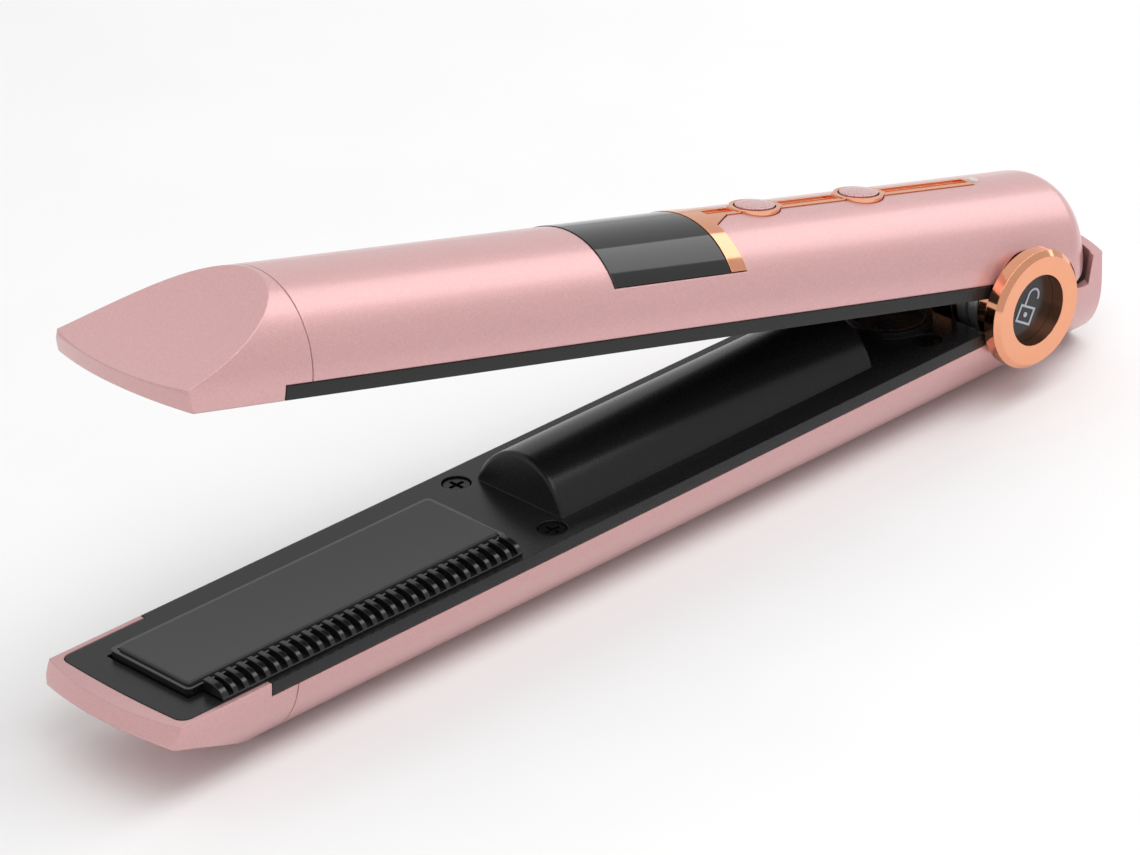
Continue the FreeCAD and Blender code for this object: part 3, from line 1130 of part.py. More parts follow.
def lock_ring():
    """The turning lock ring, its sunk dial face, the padlock sign and the cam on its hub."""
    dial_top = f"({RING_FACE} - dial_depth)"
    dial_back = f"({dial_top} - dial_thick)"
    node("lock_ring", ring_body("lock_ring_body", f"({dial_back} - ring_floor)", dial_back), "hinge")
    node("lock_dial_face", rod("dial_disc", "y", "ring_window - 0.05", (dial_back, dial_top)), "hinge")
    hub_end = "arm_radius - hub_length"
    cam = cut("cam_cut", fuse("cam_blank", rod("cam_disc", "y", "hub_radius - hub_wall",
                                                (hub_end, f"{hub_end} + 1.2")),
                              box("cam_key", ("-2", "2"), (hub_end, f"{hub_end} + 1.9"), ("-6", "6"))),
              rod("cam_hole", "y", "pin_radius + pin_rim + pin_gap", (f"-{FAR}", FAR)))
    node("lock_cam", cam, "hinge")


def padlock_sign():
    """A plain open-padlock sign, raised on the dial face."""
    dial_top = f"({RING_FACE} - dial_depth)"
    deep = (dial_top, f"{dial_top} + sign_rise")
    frame = cut("sign_frame", box("sign_outer", ("-2", "2"), deep, ("-3.1", "0.1")),
                box("sign_inner", ("-2 + sign_line", "2 - sign_line"), ("0", FAR),
                    ("-3.1 + sign_line", "0.1 - sign_line")))
    shackle = cut("sign_shackle", rod("sign_shackle_outer", "y", "1.5", deep, ("-0.4", "1.9")),
                  rod("sign_shackle_inner", "y", "1.5 - sign_line", ("0", FAR), ("-0.4", "1.9")),
                  box("sign_shackle_mouth", ("-4", "4"), ("0", FAR), ("-2", "1.7")))
    leg = box("sign_leg", ("1.1 - sign_line", "1.1"), deep, ("-0.1", "1.8"))
    dot = rod("sign_dot", "y", "0.45", deep, ("0", "-1.5"))
    sign = group("sign_set", [fuse("sign_lines", frame, shackle, leg), dot])
    tilt = DOC.addObject("Part::Compound", "sign_tilt")
    tilt.Links = [sign]
    tilt.Placement = FreeCAD.Placement(FreeCAD.Vector(), FreeCAD.Rotation(Y_AXIS, -30))
    return node("lock_sign", group("sign_holder", [tilt]), "hinge")


def hinge_cap():
    """The plain cap on the other side of the hinge."""
    body = ring_body("hinge_cap_body", f"({RING_BACK} + cap_hollow)")
    flip = group("hinge_cap_flip", [body])
    flip.Placement = FreeCAD.Placement(FreeCAD.Vector(), FreeCAD.Rotation(Z_AXIS, 180))
    return node("hinge_cap", group("hinge_cap_holder", [flip]), "hinge")


# ---------------------------------------------------------------- assembly

lower_shell()
upper_shell()
for arm in ("lower", "upper"):
    nose_cap(arm)
    tray_screws(arm)
    heat_plate(arm)
    plate_frame(arm)
    heater_stack(arm)
    plate_springs(arm)
    hinge_bracket(arm)
lower_tray()
upper_tray()
comb_strip()
battery()
charging_socket()
control_electronics()
display_window()
display_module()
trim_strip()
button("power")
button("mode")
status_light()
hinge_barrel()
hinge_pin()
hinge_washers()
opening_spring()
lock_ring()
padlock_sign()
hinge_cap()
DOC.recompute()

faults = [thing.Name for thing in DOC.Objects if {"Invalid", "Error"} & set(thing.State)]
for thing in NODES:
    if thing.Shape.isNull() or not thing.Shape.isValid():
        faults.append(f"{thing.Label} has no valid shape")
if faults:
    raise RuntimeError("; ".join(faults))

os.makedirs("parts", exist_ok=True)
for thing in NODES:
    thing.Shape.exportStep(f"parts/{thing.Label}.step")
print(len(NODES), "parts written")
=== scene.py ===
"""Looks for a small cordless flat iron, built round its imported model.

The lower arm lies on the floor with +X towards the tips, the lock ring on the +Y side and +Z up.
The upper arm is raised about the hinge axis, which runs along Y.
All lengths are in metres.
"""

import json
import logging
import math
from collections.abc import Callable, Sequence
from dataclasses import dataclass, field
from enum import Enum

import bmesh
import bpy
from mathutils import Matrix, Vector


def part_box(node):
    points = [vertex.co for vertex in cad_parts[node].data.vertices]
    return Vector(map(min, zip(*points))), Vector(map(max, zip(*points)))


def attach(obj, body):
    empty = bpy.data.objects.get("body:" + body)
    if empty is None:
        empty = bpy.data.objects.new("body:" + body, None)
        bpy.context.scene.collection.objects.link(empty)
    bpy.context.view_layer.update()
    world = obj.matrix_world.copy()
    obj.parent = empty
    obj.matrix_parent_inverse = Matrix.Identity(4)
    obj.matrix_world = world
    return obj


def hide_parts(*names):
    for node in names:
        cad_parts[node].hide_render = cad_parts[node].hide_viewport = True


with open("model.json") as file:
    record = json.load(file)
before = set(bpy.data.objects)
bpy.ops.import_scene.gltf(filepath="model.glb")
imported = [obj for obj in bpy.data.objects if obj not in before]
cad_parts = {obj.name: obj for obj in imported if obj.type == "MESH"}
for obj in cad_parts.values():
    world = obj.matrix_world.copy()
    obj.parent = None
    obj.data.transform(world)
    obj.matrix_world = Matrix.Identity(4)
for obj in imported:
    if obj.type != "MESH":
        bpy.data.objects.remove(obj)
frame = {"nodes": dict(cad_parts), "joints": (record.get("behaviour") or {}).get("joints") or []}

LOG = logging.getLogger("flat_iron")
MM = 0.001
Colour = tuple[float, float, float]
Point = tuple[float, float, float]
RAMP_START, RAMP_END = 0.15, 0.95
BRUSH_STRETCH = (0.04, 1.0, 1.0)
NOISE_DETAIL = 3.0
BUMP_STRENGTH = 0.35
EDGE_SAMPLES = 6
SOFTEN_SEGMENTS = 3
SOFTEN_ANGLE = math.radians(35)


class Arm(Enum):
    """The two arms, by the body that each one's housing rides on."""

    LOWER = "lower_arm"
    UPPER = "upper_arm"


class Grain(Enum):
    """How a surface breaks up when it is seen close to."""

    FLAKE = "flake"
    EVEN = "even"
    BRUSHED = "brushed"


# ---------------------------------------------------------------- finishes


@dataclass(frozen=True)
class Finish:
    """One surface finish, made of a shader and a fine grain.

    Attributes:
        name: Name of the material.
        colour: Main colour, linear.
        tint: Second colour that the grain mixes in.
        roughness: Roughness of the surface.
        roughness_spread: How far the grain moves the roughness.
        metallic: How metallic the surface is.
        coat: Weight of the clear coat.
        coat_roughness: Roughness of the clear coat.
        grain: Kind of grain.
        grain_size: Size of one grain.
        relief: Height of the grain's bump.
        edge: Radius by which sharp edges catch the light.
        specular: Specular level.
        transmission: Weight of light that passes through.
    """

    name: str
    colour: Colour
    tint: Colour
    roughness: float
    roughness_spread: float = 0.04
    metallic: float = 0.0
    coat: float = 0.0
    coat_roughness: float = 0.05
    grain: Grain = Grain.EVEN
    grain_size: float = 0.25 * MM
    relief: float = 0.004 * MM
    edge: float = 0.0
    specular: float = 0.5
    transmission: float = 0.0

    def material(self) -> bpy.types.Material:
        """Makes the material, or finds it if it has been made.

        Returns:
            The material with its node tree.
        """
        made = bpy.data.materials.get(self.name)
        if made is not None:
            return made
        made = bpy.data.materials.new(self.name)
        made.use_nodes = True
        tree = made.node_tree
        shader = tree.nodes["Principled BSDF"]
        shader.inputs["Metallic"].default_value = self.metallic
        shader.inputs["Coat Weight"].default_value = self.coat
        shader.inputs["Coat Roughness"].default_value = self.coat_roughness
        shader.inputs["Specular IOR Level"].default_value = self.specular
        shader.inputs["Transmission Weight"].default_value = self.transmission
        pattern = self._pattern(tree)
        self._mix_colour(tree, shader, pattern)
        self._mix_roughness(tree, shader, pattern)
        self._raise(tree, shader, pattern)
        made.diffuse_color = (*self.colour, 1.0)
        return made

    def _pattern(self, tree: bpy.types.NodeTree) -> bpy.types.NodeSocket:
        """Adds the grain's own pattern.

        Args:
            tree: Node tree of the material.

        Returns:
            The socket that carries the pattern, from 0 to 1.
        """
        place = tree.nodes.new("ShaderNodeTexCoord")
        stretch = tree.nodes.new("ShaderNodeMapping")
        tree.links.new(place.outputs["Object"], stretch.inputs["Vector"])
        if self.grain is Grain.BRUSHED:
            stretch.inputs["Scale"].default_value = BRUSH_STRETCH
        if self.grain is Grain.FLAKE:
            flakes = tree.nodes.new("ShaderNodeTexVoronoi")
            flakes.inputs["Scale"].default_value = 1.0 / self.grain_size
            tree.links.new(stretch.outputs["Vector"], flakes.inputs["Vector"])
            split = tree.nodes.new("ShaderNodeSeparateColor")
            tree.links.new(flakes.outputs["Color"], split.inputs["Color"])
            return split.outputs["Red"]
        noise = tree.nodes.new("ShaderNodeTexNoise")
        noise.inputs["Scale"].default_value = 1.0 / self.grain_size
        noise.inputs["Detail"].default_value = NOISE_DETAIL
        tree.links.new(stretch.outputs["Vector"], noise.inputs["Vector"])
        return noise.outputs["Fac"]

    def _mix_colour(self, tree: bpy.types.NodeTree, shader: bpy.types.Node,
                    pattern: bpy.types.NodeSocket) -> None:
        """Mixes the two colours by the pattern.

        Args:
            tree: Node tree of the material.
            shader: The principled shader.
            pattern: Socket that carries the grain.
        """
        ramp = tree.nodes.new("ShaderNodeValToRGB")
        ramp.color_ramp.elements[0].position = RAMP_START
        ramp.color_ramp.elements[0].color = (*self.colour, 1.0)
        ramp.color_ramp.elements[1].position = RAMP_END
        ramp.color_ramp.elements[1].color = (*self.tint, 1.0)
        tree.links.new(pattern, ramp.inputs["Fac"])
        tree.links.new(ramp.outputs["Color"], shader.inputs["Base Color"])

    def _mix_roughness(self, tree: bpy.types.NodeTree, shader: bpy.types.Node,
                       pattern: bpy.types.NodeSocket) -> None:
        """Lets the pattern move the roughness a little.

        Args:
            tree: Node tree of the material.
            shader: The principled shader.
            pattern: Socket that carries the grain.
        """
        spread = tree.nodes.new("ShaderNodeMapRange")
        spread.inputs["To Min"].default_value = max(0.0, self.roughness - self.roughness_spread)
        spread.inputs["To Max"].default_value = min(1.0, self.roughness + self.roughness_spread)
        tree.links.new(pattern, spread.inputs["Value"])
        tree.links.new(spread.outputs["Result"], shader.inputs["Roughness"])

    def _raise(self, tree: bpy.types.NodeTree, shader: bpy.types.Node,
               pattern: bpy.types.NodeSocket) -> None:
        """Gives the grain its relief and lets sharp edges catch the light.

        Args:
            tree: Node tree of the material.
            shader: The principled shader.
            pattern: Socket that carries the grain.
        """
        bump = tree.nodes.new("ShaderNodeBump")
        bump.inputs["Strength"].default_value = BUMP_STRENGTH
        bump.inputs["Distance"].default_value = self.relief
        tree.links.new(pattern, bump.inputs["Height"])
        tree.links.new(bump.outputs["Normal"], shader.inputs["Normal"])
        if self.edge > 0.0:
            bevel = tree.nodes.new("ShaderNodeBevel")
            bevel.samples = EDGE_SAMPLES
            bevel.inputs["Radius"].default_value = self.edge
            tree.links.new(bevel.outputs["Normal"], bump.inputs["Normal"])
            if self.coat > 0.0:
                tree.links.new(bevel.outputs["Normal"], shader.inputs["Coat Normal"])


ROSE_PAINT = Finish("rose_pearl_paint", (0.600, 0.325, 0.325), (0.680, 0.400, 0.400), 0.34, 0.05,
                    metallic=0.45, coat=0.45, coat_roughness=0.14, grain=Grain.FLAKE,
                    grain_size=0.10 * MM, relief=0.001 * MM, edge=0.35 * MM)
TRAY_BLACK = Finish("satin_black_tray", (0.0080, 0.0080, 0.0085), (0.0120, 0.0120, 0.0125), 0.28, 0.04,
                    specular=0.3, grain_size=0.20 * MM, relief=0.006 * MM, edge=0.25 * MM)
FRAME_BLACK = Finish("gloss_black_frame", (0.0060, 0.0060, 0.0065), (0.0095, 0.0095, 0.0100), 0.16, 0.04,
                     coat=0.3, grain_size=0.8 * MM, relief=0.002 * MM, edge=0.15 * MM)
COMB_BLACK = Finish("gloss_black_comb", (0.0070, 0.0070, 0.0075), (0.0110, 0.0110, 0.0115), 0.20, 0.04,
                    grain_size=0.5 * MM, relief=0.002 * MM)
PLATE_CERAMIC = Finish("dark_ceramic_plate", (0.0400, 0.0400, 0.0410), (0.0480, 0.0480, 0.0490), 0.30,
                       0.03, metallic=0.10, coat=0.05, coat_roughness=0.10, specular=0.25,
                       grain=Grain.BRUSHED, grain_size=0.12 * MM, relief=0.0008 * MM)
ROSE_CHROME = Finish("rose_gold_chrome", (0.850, 0.385, 0.225), (0.880, 0.410, 0.250), 0.09, 0.02,
                     metallic=1.0, grain_size=1.5 * MM, relief=0.001 * MM, edge=0.12 * MM)
DARK_GLASS = Finish("dark_display_window", (0.0045, 0.0045, 0.0050), (0.0055, 0.0055, 0.0060), 0.06, 0.01,
                    coat=0.2, coat_roughness=0.06, grain_size=3.0 * MM, relief=0.0005 * MM,
                    edge=0.25 * MM, specular=0.4)
BUTTON_ROSE = Finish("rose_button", (0.560, 0.270, 0.265), (0.700, 0.400, 0.395), 0.28, 0.05,
                     metallic=0.55, coat=0.7, coat_roughness=0.06, grain=Grain.FLAKE,
                     grain_size=0.16 * MM, relief=0.002 * MM)
SIGN_LIGHT = Finish("sign_print", (0.420, 0.480, 0.560), (0.480, 0.530, 0.600), 0.45, 0.05,
                    grain_size=0.3 * MM, relief=0.001 * MM)
DIAL_BLACK = Finish("dial_black", (0.0040, 0.0040, 0.0045), (0.0060, 0.0060, 0.0065), 0.22, 0.03,
                    grain_size=1.0 * MM, relief=0.0005 * MM)
LAMP_CLEAR = Finish("lamp_lens", (0.800, 0.740, 0.700), (0.900, 0.860, 0.820), 0.12, 0.02, coat=0.5,
                    grain_size=0.6 * MM, relief=0.001 * MM, transmission=0.3)
SCREW_BLACK = Finish("black_screw", (0.010, 0.010, 0.011), (0.018, 0.018, 0.019), 0.30, 0.08,
                     metallic=0.7, grain=Grain.BRUSHED, grain_size=0.1 * MM, relief=0.002 * MM,
                     edge=0.08 * MM)
STEEL = Finish("hinge_steel", (0.300, 0.300, 0.310), (0.420, 0.420, 0.430), 0.30, 0.08, metallic=1.0,
               grain=Grain.BRUSHED, grain_size=0.1 * MM, relief=0.002 * MM, edge=0.1 * MM)
SPRING_STEEL = Finish("spring_steel", (0.350, 0.340, 0.330), (0.480, 0.470, 0.460), 0.24, 0.06,
                      metallic=1.0, grain=Grain.BRUSHED, grain_size=0.08 * MM, relief=0.001 * MM)
HEATER_WHITE = Finish("heater_ceramic", (0.640, 0.610, 0.560), (0.720, 0.700, 0.660), 0.60, 0.08,
                      grain_size=0.3 * MM, relief=0.01 * MM)
MICA = Finish("mica_pad", (0.300, 0.230, 0.140), (0.420, 0.330, 0.210), 0.45, 0.10, grain_size=0.9 * MM,
              relief=0.01 * MM)
CELL_WRAP = Finish("cell_wrap", (0.020, 0.090, 0.280), (0.030, 0.120, 0.330), 0.30, 0.06,
                   grain_size=1.2 * MM, relief=0.01 * MM)
NICKEL = Finish("nickel_tab", (0.420, 0.400, 0.370), (0.520, 0.500, 0.470), 0.28, 0.08, metallic=1.0,
                grain=Grain.BRUSHED, grain_size=0.1 * MM, relief=0.001 * MM)
CRADLE_GREY = Finish("cradle_plastic", (0.030, 0.030, 0.032), (0.045, 0.045, 0.047), 0.50, 0.08,
                     grain_size=0.3 * MM, relief=0.01 * MM)
BOARD_GREEN = Finish("board_mask", (0.012, 0.075, 0.030), (0.020, 0.110, 0.045), 0.32, 0.06, coat=0.3,
                     grain_size=1.6 * MM, relief=0.01 * MM)
CHIP_BLACK = Finish("chip_black", (0.018, 0.018, 0.019), (0.028, 0.028, 0.029), 0.55, 0.06,
                    grain_size=0.2 * MM, relief=0.006 * MM)
# Dark red of the thin strip in the parting gap between each shell and its tray: painted shade of the gap.
GAP_SHADE_RED = Finish("painted_gap_shade", (0.060, 0.008, 0.010), (0.090, 0.014, 0.016), 0.45, 0.06,
                  grain_size=0.4 * MM, relief=0.003 * MM)
FLOOR_PALE = Finish("floor_pale", (0.850, 0.850, 0.850), (0.880, 0.880, 0.880), 0.70, 0.05,
                    grain_size=40 * MM, relief=0.02 * MM, specular=0.2)


# ---------------------------------------------------------------- shared making


def dress(node: str, finish: Finish) -> None:
    """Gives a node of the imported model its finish.

    Args:
        node: Name of the node.
        finish: The finish for every face of it.
    """
    piece = frame["nodes"][node]
    if not piece.material_slots:
        piece.data.materials.append(None)
    for place in piece.material_slots:
        place.material = finish.material()
    LOG.info("dressed %s in %s", node, finish.name)


def dress_all(finishes: dict[str, Finish]) -> None:
    """Gives several nodes their finishes, in order.

    Args:
        finishes: Finish of each node, by the node's name.
    """
    for node, finish in finishes.items():
        dress(node, finish)


def piece_from(name: str, build: Callable[[bmesh.types.BMesh], None], body: str, finish: Finish,
               soften: float = 0.0) -> bpy.types.Object:
    """Makes a piece from mesh code and lets it ride on a body.

    Args:
        name: Name of the piece.
        build: Function that fills the mesh.
        body: Body that the piece rides on.
        finish: Finish of the piece.
        soften: Width of the bevel on sharp edges, or 0 for none.

    Returns:
        The new piece.
    """
    mesh = bpy.data.meshes.new(name)
    work = bmesh.new()
    build(work)
    bmesh.ops.recalc_face_normals(work, faces=work.faces)
    work.to_mesh(mesh)
    work.free()
    mesh.shade_smooth()
    piece = bpy.data.objects.new(name, mesh)
    bpy.context.scene.collection.objects.link(piece)
    mesh.materials.append(finish.material())
    if soften > 0.0:
        bevel = piece.modifiers.new("softened", "BEVEL")
        bevel.width = soften
        bevel.segments = SOFTEN_SEGMENTS
        bevel.limit_method = "ANGLE"
        bevel.angle_limit = SOFTEN_ANGLE
        bevel.harden_normals = True
    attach(piece, body)
    LOG.info("made %s", name)
    return piece


def prism(work: bmesh.types.BMesh, outline: Sequence[Vector], along: Vector) -> None:
    """Adds a prism over a closed outline.

    Args:
        work: Mesh that is being filled.
        outline: Corners of the first end, in order.
        along: Offset from the first end to the second.
    """
    first = [work.verts.new(corner) for corner in outline]
    second = [work.verts.new(corner + along) for corner in outline]
    work.faces.new(first)
    work.faces.new(list(reversed(second)))
    count = len(outline)
    for number in range(count):
        after = (number + 1) % count
        work.faces.new((first[after], first[number], second[number], second[after]))


@dataclass
class HingeFrame:
    """Where the hinge axis lies and how far the upper arm is raised at rest.

    Attributes:
        height: Height of the hinge axis over the floor.
        raised: Angle between the arms at rest, in radians.
    """

    height: float
    raised: float

    @classmethod
    def from_frame(cls) -> "HingeFrame":
        """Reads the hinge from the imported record.

        Returns:
            The hinge frame.
        """
        hinge = next(joint for joint in frame["joints"] if joint["name"] == "arm_hinge")
        return cls(hinge["pos_m"][2], math.radians(hinge["range_deg"][1]))

    def placement(self, arm: Arm) -> Matrix:
        """Gives the matrix from an arm's own frame to the shared frame.

        Args:
            arm: The arm.

        Returns:
            The matrix; the arm's own +Z points away from the other arm.
        """
        lift = Matrix.Translation((0.0, 0.0, self.height))
        if arm is Arm.LOWER:
            return lift @ Matrix.Rotation(math.pi, 4, "X")
        return lift @ Matrix.Rotation(-self.raised, 4, "Y")


# ---------------------------------------------------------------- sub-assemblies


@dataclass
class Housing:
    """The painted shells and nose caps of both arms, and a dark red strip of painted shade in the gap
    under their edges.

    Attributes:
        hinge: The hinge frame.
        radius: Outer radius of an arm.
        panel: Height of an arm's inner face from the hinge plane.
        shade_low: Lower edge of the strip of painted gap shade, from the hinge plane.
        shade_high: Upper edge of the strip of painted gap shade, from the hinge plane.
        shade_sunk: How far the strip of painted gap shade sits behind the surface.
        shade_inset: How far the strip's inner face lies inside the outer radius.
        shade_rear: Rear end of the strip of painted gap shade.
        shade_front: Front end of the strip of painted gap shade.
    """

    hinge: HingeFrame
    radius: float = 15.4 * MM
    panel: float = 1.9 * MM
    shade_low: float = 4.06 * MM
    shade_high: float = 4.34 * MM
    shade_sunk: float = 0.10 * MM
    shade_inset: float = 1.2 * MM
    shade_rear: float = 9.6 * MM
    shade_front: float = 169.6 * MM

    def build(self) -> None:
        """Dresses the shells and caps and adds the dark red strips of painted gap shade."""
        for node in ("lower_shell", "upper_shell", "lower_nose_cap", "upper_nose_cap"):
            dress(node, ROSE_PAINT)
        for arm in Arm:
            for side in (-1, 1):
                self._gap_shade(arm, side)

    def _gap_shade(self, arm: Arm, side: int) -> None:
        """Adds one thin dark red strip of painted shade in the gap between a shell and its tray.

        Args:
            arm: The arm.
            side: 1 or -1, the side along the arm's own Y.
        """
        placement = self.hinge.placement(arm)
        inner = self.radius - self.shade_inset
        depth = math.sqrt(self.radius**2 - (self.shade_high - self.panel) ** 2) - self.shade_sunk

        def build(work: bmesh.types.BMesh) -> None:
            """Fills the mesh of the strip of painted gap shade."""
            low, high = self.shade_low, self.shade_high
            section = [(depth, low), (depth, high), (inner, high), (inner, low)]
            outline = [placement @ Vector((self.shade_rear, side * y, z)) for y, z in section]
            along = placement.to_3x3() @ Vector((self.shade_front - self.shade_rear, 0.0, 0.0))
            prism(work, outline, along)

        tag = "near" if side == 1 else "far"
        # This strip is painted shade: a dark red sheet that stands for the shade in the parting gap.
        piece_from(f"{arm.value}_gap_shade_{tag}", build, arm.value, GAP_SHADE_RED)


@dataclass
class Trays:
    """The black inside faces with their screws."""

    def build(self) -> None:
        """Dresses the trays and the screws."""
        for side in ("lower", "upper"):
            dress_all({f"{side}_tray": TRAY_BLACK, f"{side}_tray_screws": SCREW_BLACK})


@dataclass
class Plates:
    """The heated plates with their frames, heaters, pads and springs."""

    def build(self) -> None:
        """Dresses both plate units."""
        for side in ("lower", "upper"):
            dress_all({
                f"{side}_heat_plate": PLATE_CERAMIC,
                f"{side}_plate_frame": FRAME_BLACK,
                f"{side}_heater": HEATER_WHITE,
                f"{side}_heat_shield": MICA,
                f"{side}_plate_springs": SPRING_STEEL,
            })


@dataclass
class Comb:
    """The row of arched teeth beside the lower plate.

    Attributes:
        teeth: Number of teeth.
        pitch: Distance between teeth.
        thickness: Thickness of a tooth.
        base_height: Height of the strip that the teeth stand on.
        arc_points: Points along a tooth's arch.
        lead_thickness: Thickness of the last tooth, nearest the tip.
        flat_share: Share of a tooth's width that is flat on top.
        across_power: Power that shapes the arch across the tooth.
        drop_power: Power that shapes the arch's fall.
        soften: Width of the bevel on the teeth's edges.
    """

    teeth: int = 29
    pitch: float = 2.2 * MM
    thickness: float = 0.95 * MM
    base_height: float = 0.5 * MM
    arc_points: int = 14
    lead_thickness: float = 1.3 * MM
    flat_share: float = 0.22
    across_power: float = 0.9
    drop_power: float = 0.8
    soften: float = 0.14 * MM

    def build(self) -> None:
        """Makes the teeth and their base."""
        low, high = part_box("comb_strip")

        def fill(work: bmesh.types.BMesh) -> None:
            """Fills the comb's mesh."""
            top = low.z + self.base_height
            section = [(low.y, low.z), (high.y, low.z), (high.y, top), (low.y, top)]
            base = [Vector((low.x, y, z)) for y, z in section]
            prism(work, base, Vector((high.x - low.x, 0.0, 0.0)))
            for number in range(self.teeth):
                last = number == self.teeth - 1
                thick = self.lead_thickness if last else self.thickness
                end = high.x if last else low.x + number * self.pitch + self.thickness
                outline = self._arch(low, high, end - thick)
                prism(work, outline, Vector((thick, 0.0, 0.0)))

        comb = piece_from("comb_teeth", fill, "lower_arm", COMB_BLACK, soften=self.soften)
        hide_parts("comb_strip")

    def _arch(self, low: Vector, high: Vector, x: float) -> list[Vector]:
        """Gives the outline of one tooth.

        Args:
            low: Lowest corner of the comb's room.
            high: Highest corner of the comb's room.
            x: Where the tooth stands.

        Returns:
            The outline's points, in order.
        """
        width, rise = high.y - low.y, high.z - low.z
        flat = width * self.flat_share
        points = [Vector((x, low.y, low.z)), Vector((x, low.y, high.z))]
        for number in range(self.arc_points):
            turn = math.pi / 2 * number / (self.arc_points - 1)
            y = low.y + flat + (width - flat) * math.sin(turn) ** self.across_power
            z = low.z + rise * max(0.0, math.cos(turn)) ** self.drop_power
            points.append(Vector((x, y, max(z, low.z))))
        return points


@dataclass
class Controls:
    """Display, bright trim, buttons, status light and the electronics under them."""

    def build(self) -> None:
        """Dresses the controls."""
        dress_all({
            "display_window": DARK_GLASS,
            "display_module": CHIP_BLACK,
            "trim_strip": ROSE_CHROME,
            "power_button": BUTTON_ROSE,
            "mode_button": BUTTON_ROSE,
            "status_light": LAMP_CLEAR,
            "control_board": BOARD_GREEN,
            "button_switches": CHIP_BLACK,
            "board_chips": CHIP_BLACK,
            "battery_cell": CELL_WRAP,
            "battery_tab_rear": NICKEL,
            "battery_tab_front": NICKEL,
            "battery_cradle": CRADLE_GREY,
            "charge_port": NICKEL,
            "charge_board": BOARD_GREEN,
        })


@dataclass
class HingeGroup:
    """The hinge metalwork and the caps at its two ends."""

    def build(self) -> None:
        """Dresses the hinge."""
        dress_all({
            "lower_hinge_bracket": STEEL,
            "upper_hinge_bracket": STEEL,
            "hinge_pin": STEEL,
            "hinge_washers": STEEL,
            "pin_clip": SPRING_STEEL,
            "opening_spring": SPRING_STEEL,
            "hinge_barrel": ROSE_CHROME,
            "hinge_cap": ROSE_CHROME,
            "lock_ring": ROSE_CHROME,
            "lock_cam": STEEL,
            "lock_dial_face": DIAL_BLACK,
            "lock_sign": SIGN_LIGHT,
        })


# ---------------------------------------------------------------- studio


@dataclass
class SoftLight:
    """One rectangular soft light.

    Attributes:
        name: Name of the light.
        place: Where it hangs.
        size: Its two sides.
        power: Its power in watts.
        colour: Its colour.
    """

    name: str
    place: Point
    size: tuple[float, float]
    power: float
    colour: Colour = (1.0, 1.0, 1.0)

    def hang(self, target: Vector) -> None:
        """Hangs the light so that it faces a point.

        Args:
            target: The point that it faces.
        """
        data = bpy.data.lights.new(self.name, "AREA")
        data.shape = "RECTANGLE"
        data.size, data.size_y = self.size
        data.energy = self.power
        data.color = self.colour
        lamp = bpy.data.objects.new(self.name, data)
        lamp.location = self.place
        lamp.rotation_mode = "QUATERNION"
        lamp.rotation_quaternion = (target - Vector(self.place)).to_track_quat("-Z", "Y")
        bpy.context.scene.collection.objects.link(lamp)


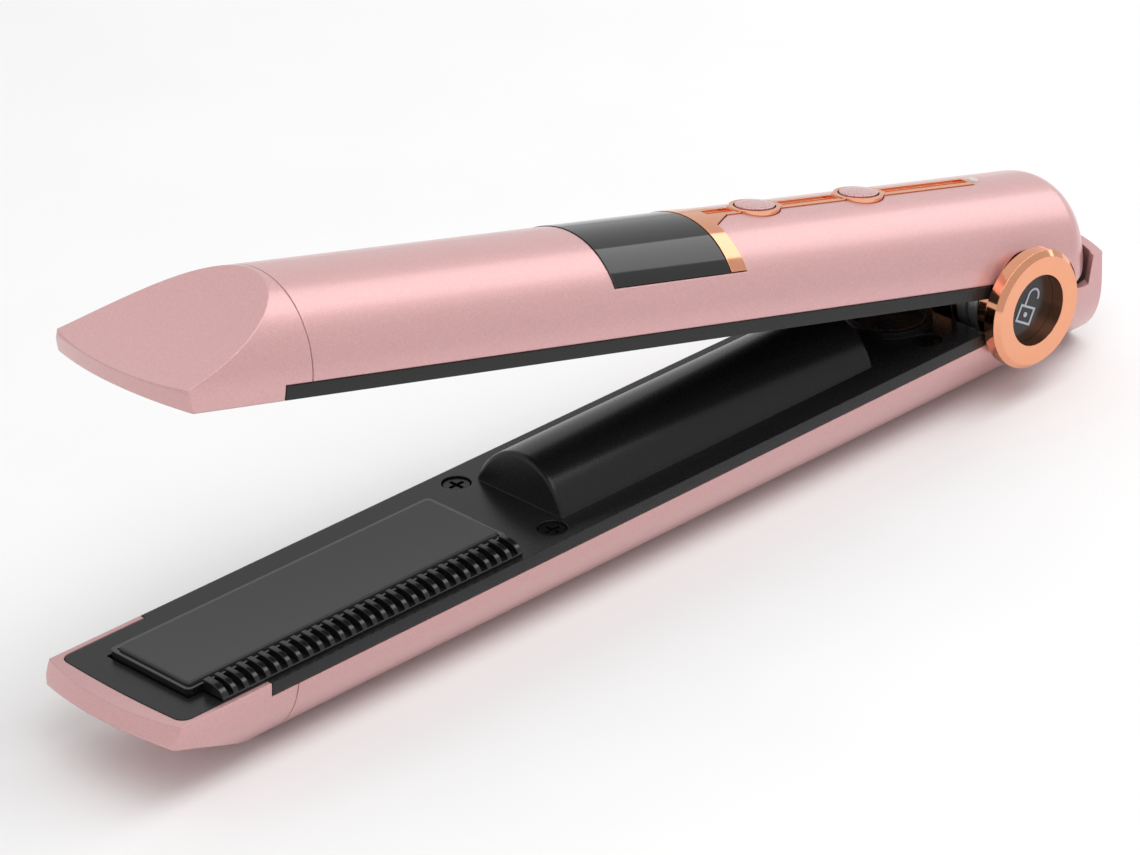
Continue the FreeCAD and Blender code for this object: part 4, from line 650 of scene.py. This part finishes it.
@dataclass
class Studio:
    """Pale floor, soft surroundings, the lights and the camera.

    Attributes:
        azimuth: Direction of the camera round the object, in degrees.
        elevation: Height of the camera over the horizon, in degrees.
        roll: Tilt of the camera about its own axis, in degrees.
        target: Point that the camera looks at.
        distance: Distance from that point.
        lens: Focal length in millimetres.
        sensor: Width of the sensor in millimetres.
        clip_start: Nearest distance that the camera sees.
        floor_half: Half of the floor's width.
        behind: Brightness of the surroundings behind the object.
        in_front: Brightness of the surroundings in front of it.
        fade_from: Y of the sky direction where the fade starts.
        fade_to: Y of the sky direction where the fade ends.
        lights: The soft lights.
    """

    azimuth: float = 136.707
    elevation: float = 27.498
    roll: float = -1.918
    target: Point = (91.631 * MM, 0.0, 23.140 * MM)
    distance: float = 950.427 * MM
    lens: float = 186.769
    sensor: float = 36.0
    clip_start: float = 0.05
    floor_half: float = 4.0
    behind: float = 0.80
    in_front: float = 0.66
    fade_from: float = -0.7
    fade_to: float = 0.5
    lights: list[SoftLight] = field(default_factory=lambda: [
        SoftLight("long_above", (0.05, 0.28, 0.75), (1.4, 0.40), 4.2),
        SoftLight("rear_strip", (-0.68, 0.0, 0.46), (0.40, 0.5), 0.9),
    ])

    def build(self) -> None:
        """Sets up the floor, world, lights and camera."""
        self._floor()
        self._world()
        for light in self.lights:
            light.hang(Vector(self.target))
        self._camera()
        bpy.context.scene.view_settings.view_transform = "Standard"

    def _floor(self) -> None:
        """Adds the pale floor."""
        mesh = bpy.data.meshes.new("floor")
        work = bmesh.new()
        bmesh.ops.create_grid(work, x_segments=1, y_segments=1, size=self.floor_half)
        work.to_mesh(mesh)
        work.free()
        mesh.materials.append(FLOOR_PALE.material())
        floor = bpy.data.objects.new("floor", mesh)
        bpy.context.scene.collection.objects.link(floor)

    def _world(self) -> None:
        """Makes the surroundings a soft white that is brighter behind the object and darker in front."""
        world = bpy.data.worlds.new("studio_white")
        world.use_nodes = True
        tree = world.node_tree
        place = tree.nodes.new("ShaderNodeTexCoord")
        split = tree.nodes.new("ShaderNodeSeparateXYZ")
        tree.links.new(place.outputs["Generated"], split.inputs["Vector"])
        fade = tree.nodes.new("ShaderNodeMapRange")
        fade.inputs["From Min"].default_value = self.fade_from
        fade.inputs["From Max"].default_value = self.fade_to
        fade.inputs["To Min"].default_value = self.behind
        fade.inputs["To Max"].default_value = self.in_front
        tree.links.new(split.outputs["Y"], fade.inputs["Value"])
        background = tree.nodes["Background"]
        background.inputs["Color"].default_value = (1.0, 1.0, 1.0, 1.0)
        tree.links.new(fade.outputs["Result"], background.inputs["Strength"])
        bpy.context.scene.world = world

    def _camera(self) -> None:
        """Adds the camera at its angle and distance."""
        turn, rise = math.radians(self.azimuth), math.radians(self.elevation)
        back = Vector((math.sin(turn) * math.cos(rise), -math.cos(turn) * math.cos(rise), math.sin(rise)))
        level = Vector((math.cos(turn), math.sin(turn), 0.0))
        upright = back.cross(level)
        tilt = math.radians(self.roll)
        right = math.cos(tilt) * level + math.sin(tilt) * upright
        up = back.cross(right)
        data = bpy.data.cameras.new("camera")
        data.lens = self.lens
        data.sensor_width = self.sensor
        data.clip_start = self.clip_start
        camera = bpy.data.objects.new("camera", data)
        camera.matrix_world = Matrix((right, up, back)).transposed().to_4x4()
        camera.location = Vector(self.target) + back * self.distance
        bpy.context.scene.collection.objects.link(camera)
        bpy.context.scene.camera = camera


# ---------------------------------------------------------------- making


def main() -> None:
    """Builds every sub-assembly in order."""
    logging.basicConfig(level=logging.INFO, format="%(message)s")
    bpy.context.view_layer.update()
    hinge = HingeFrame.from_frame()
    for maker in (Housing(hinge), Trays(), Plates(), Comb(), Controls(), HingeGroup(), Studio()):
        maker.build()
        LOG.info("finished %s", type(maker).__name__)


if __name__ == "__main__":
    main()
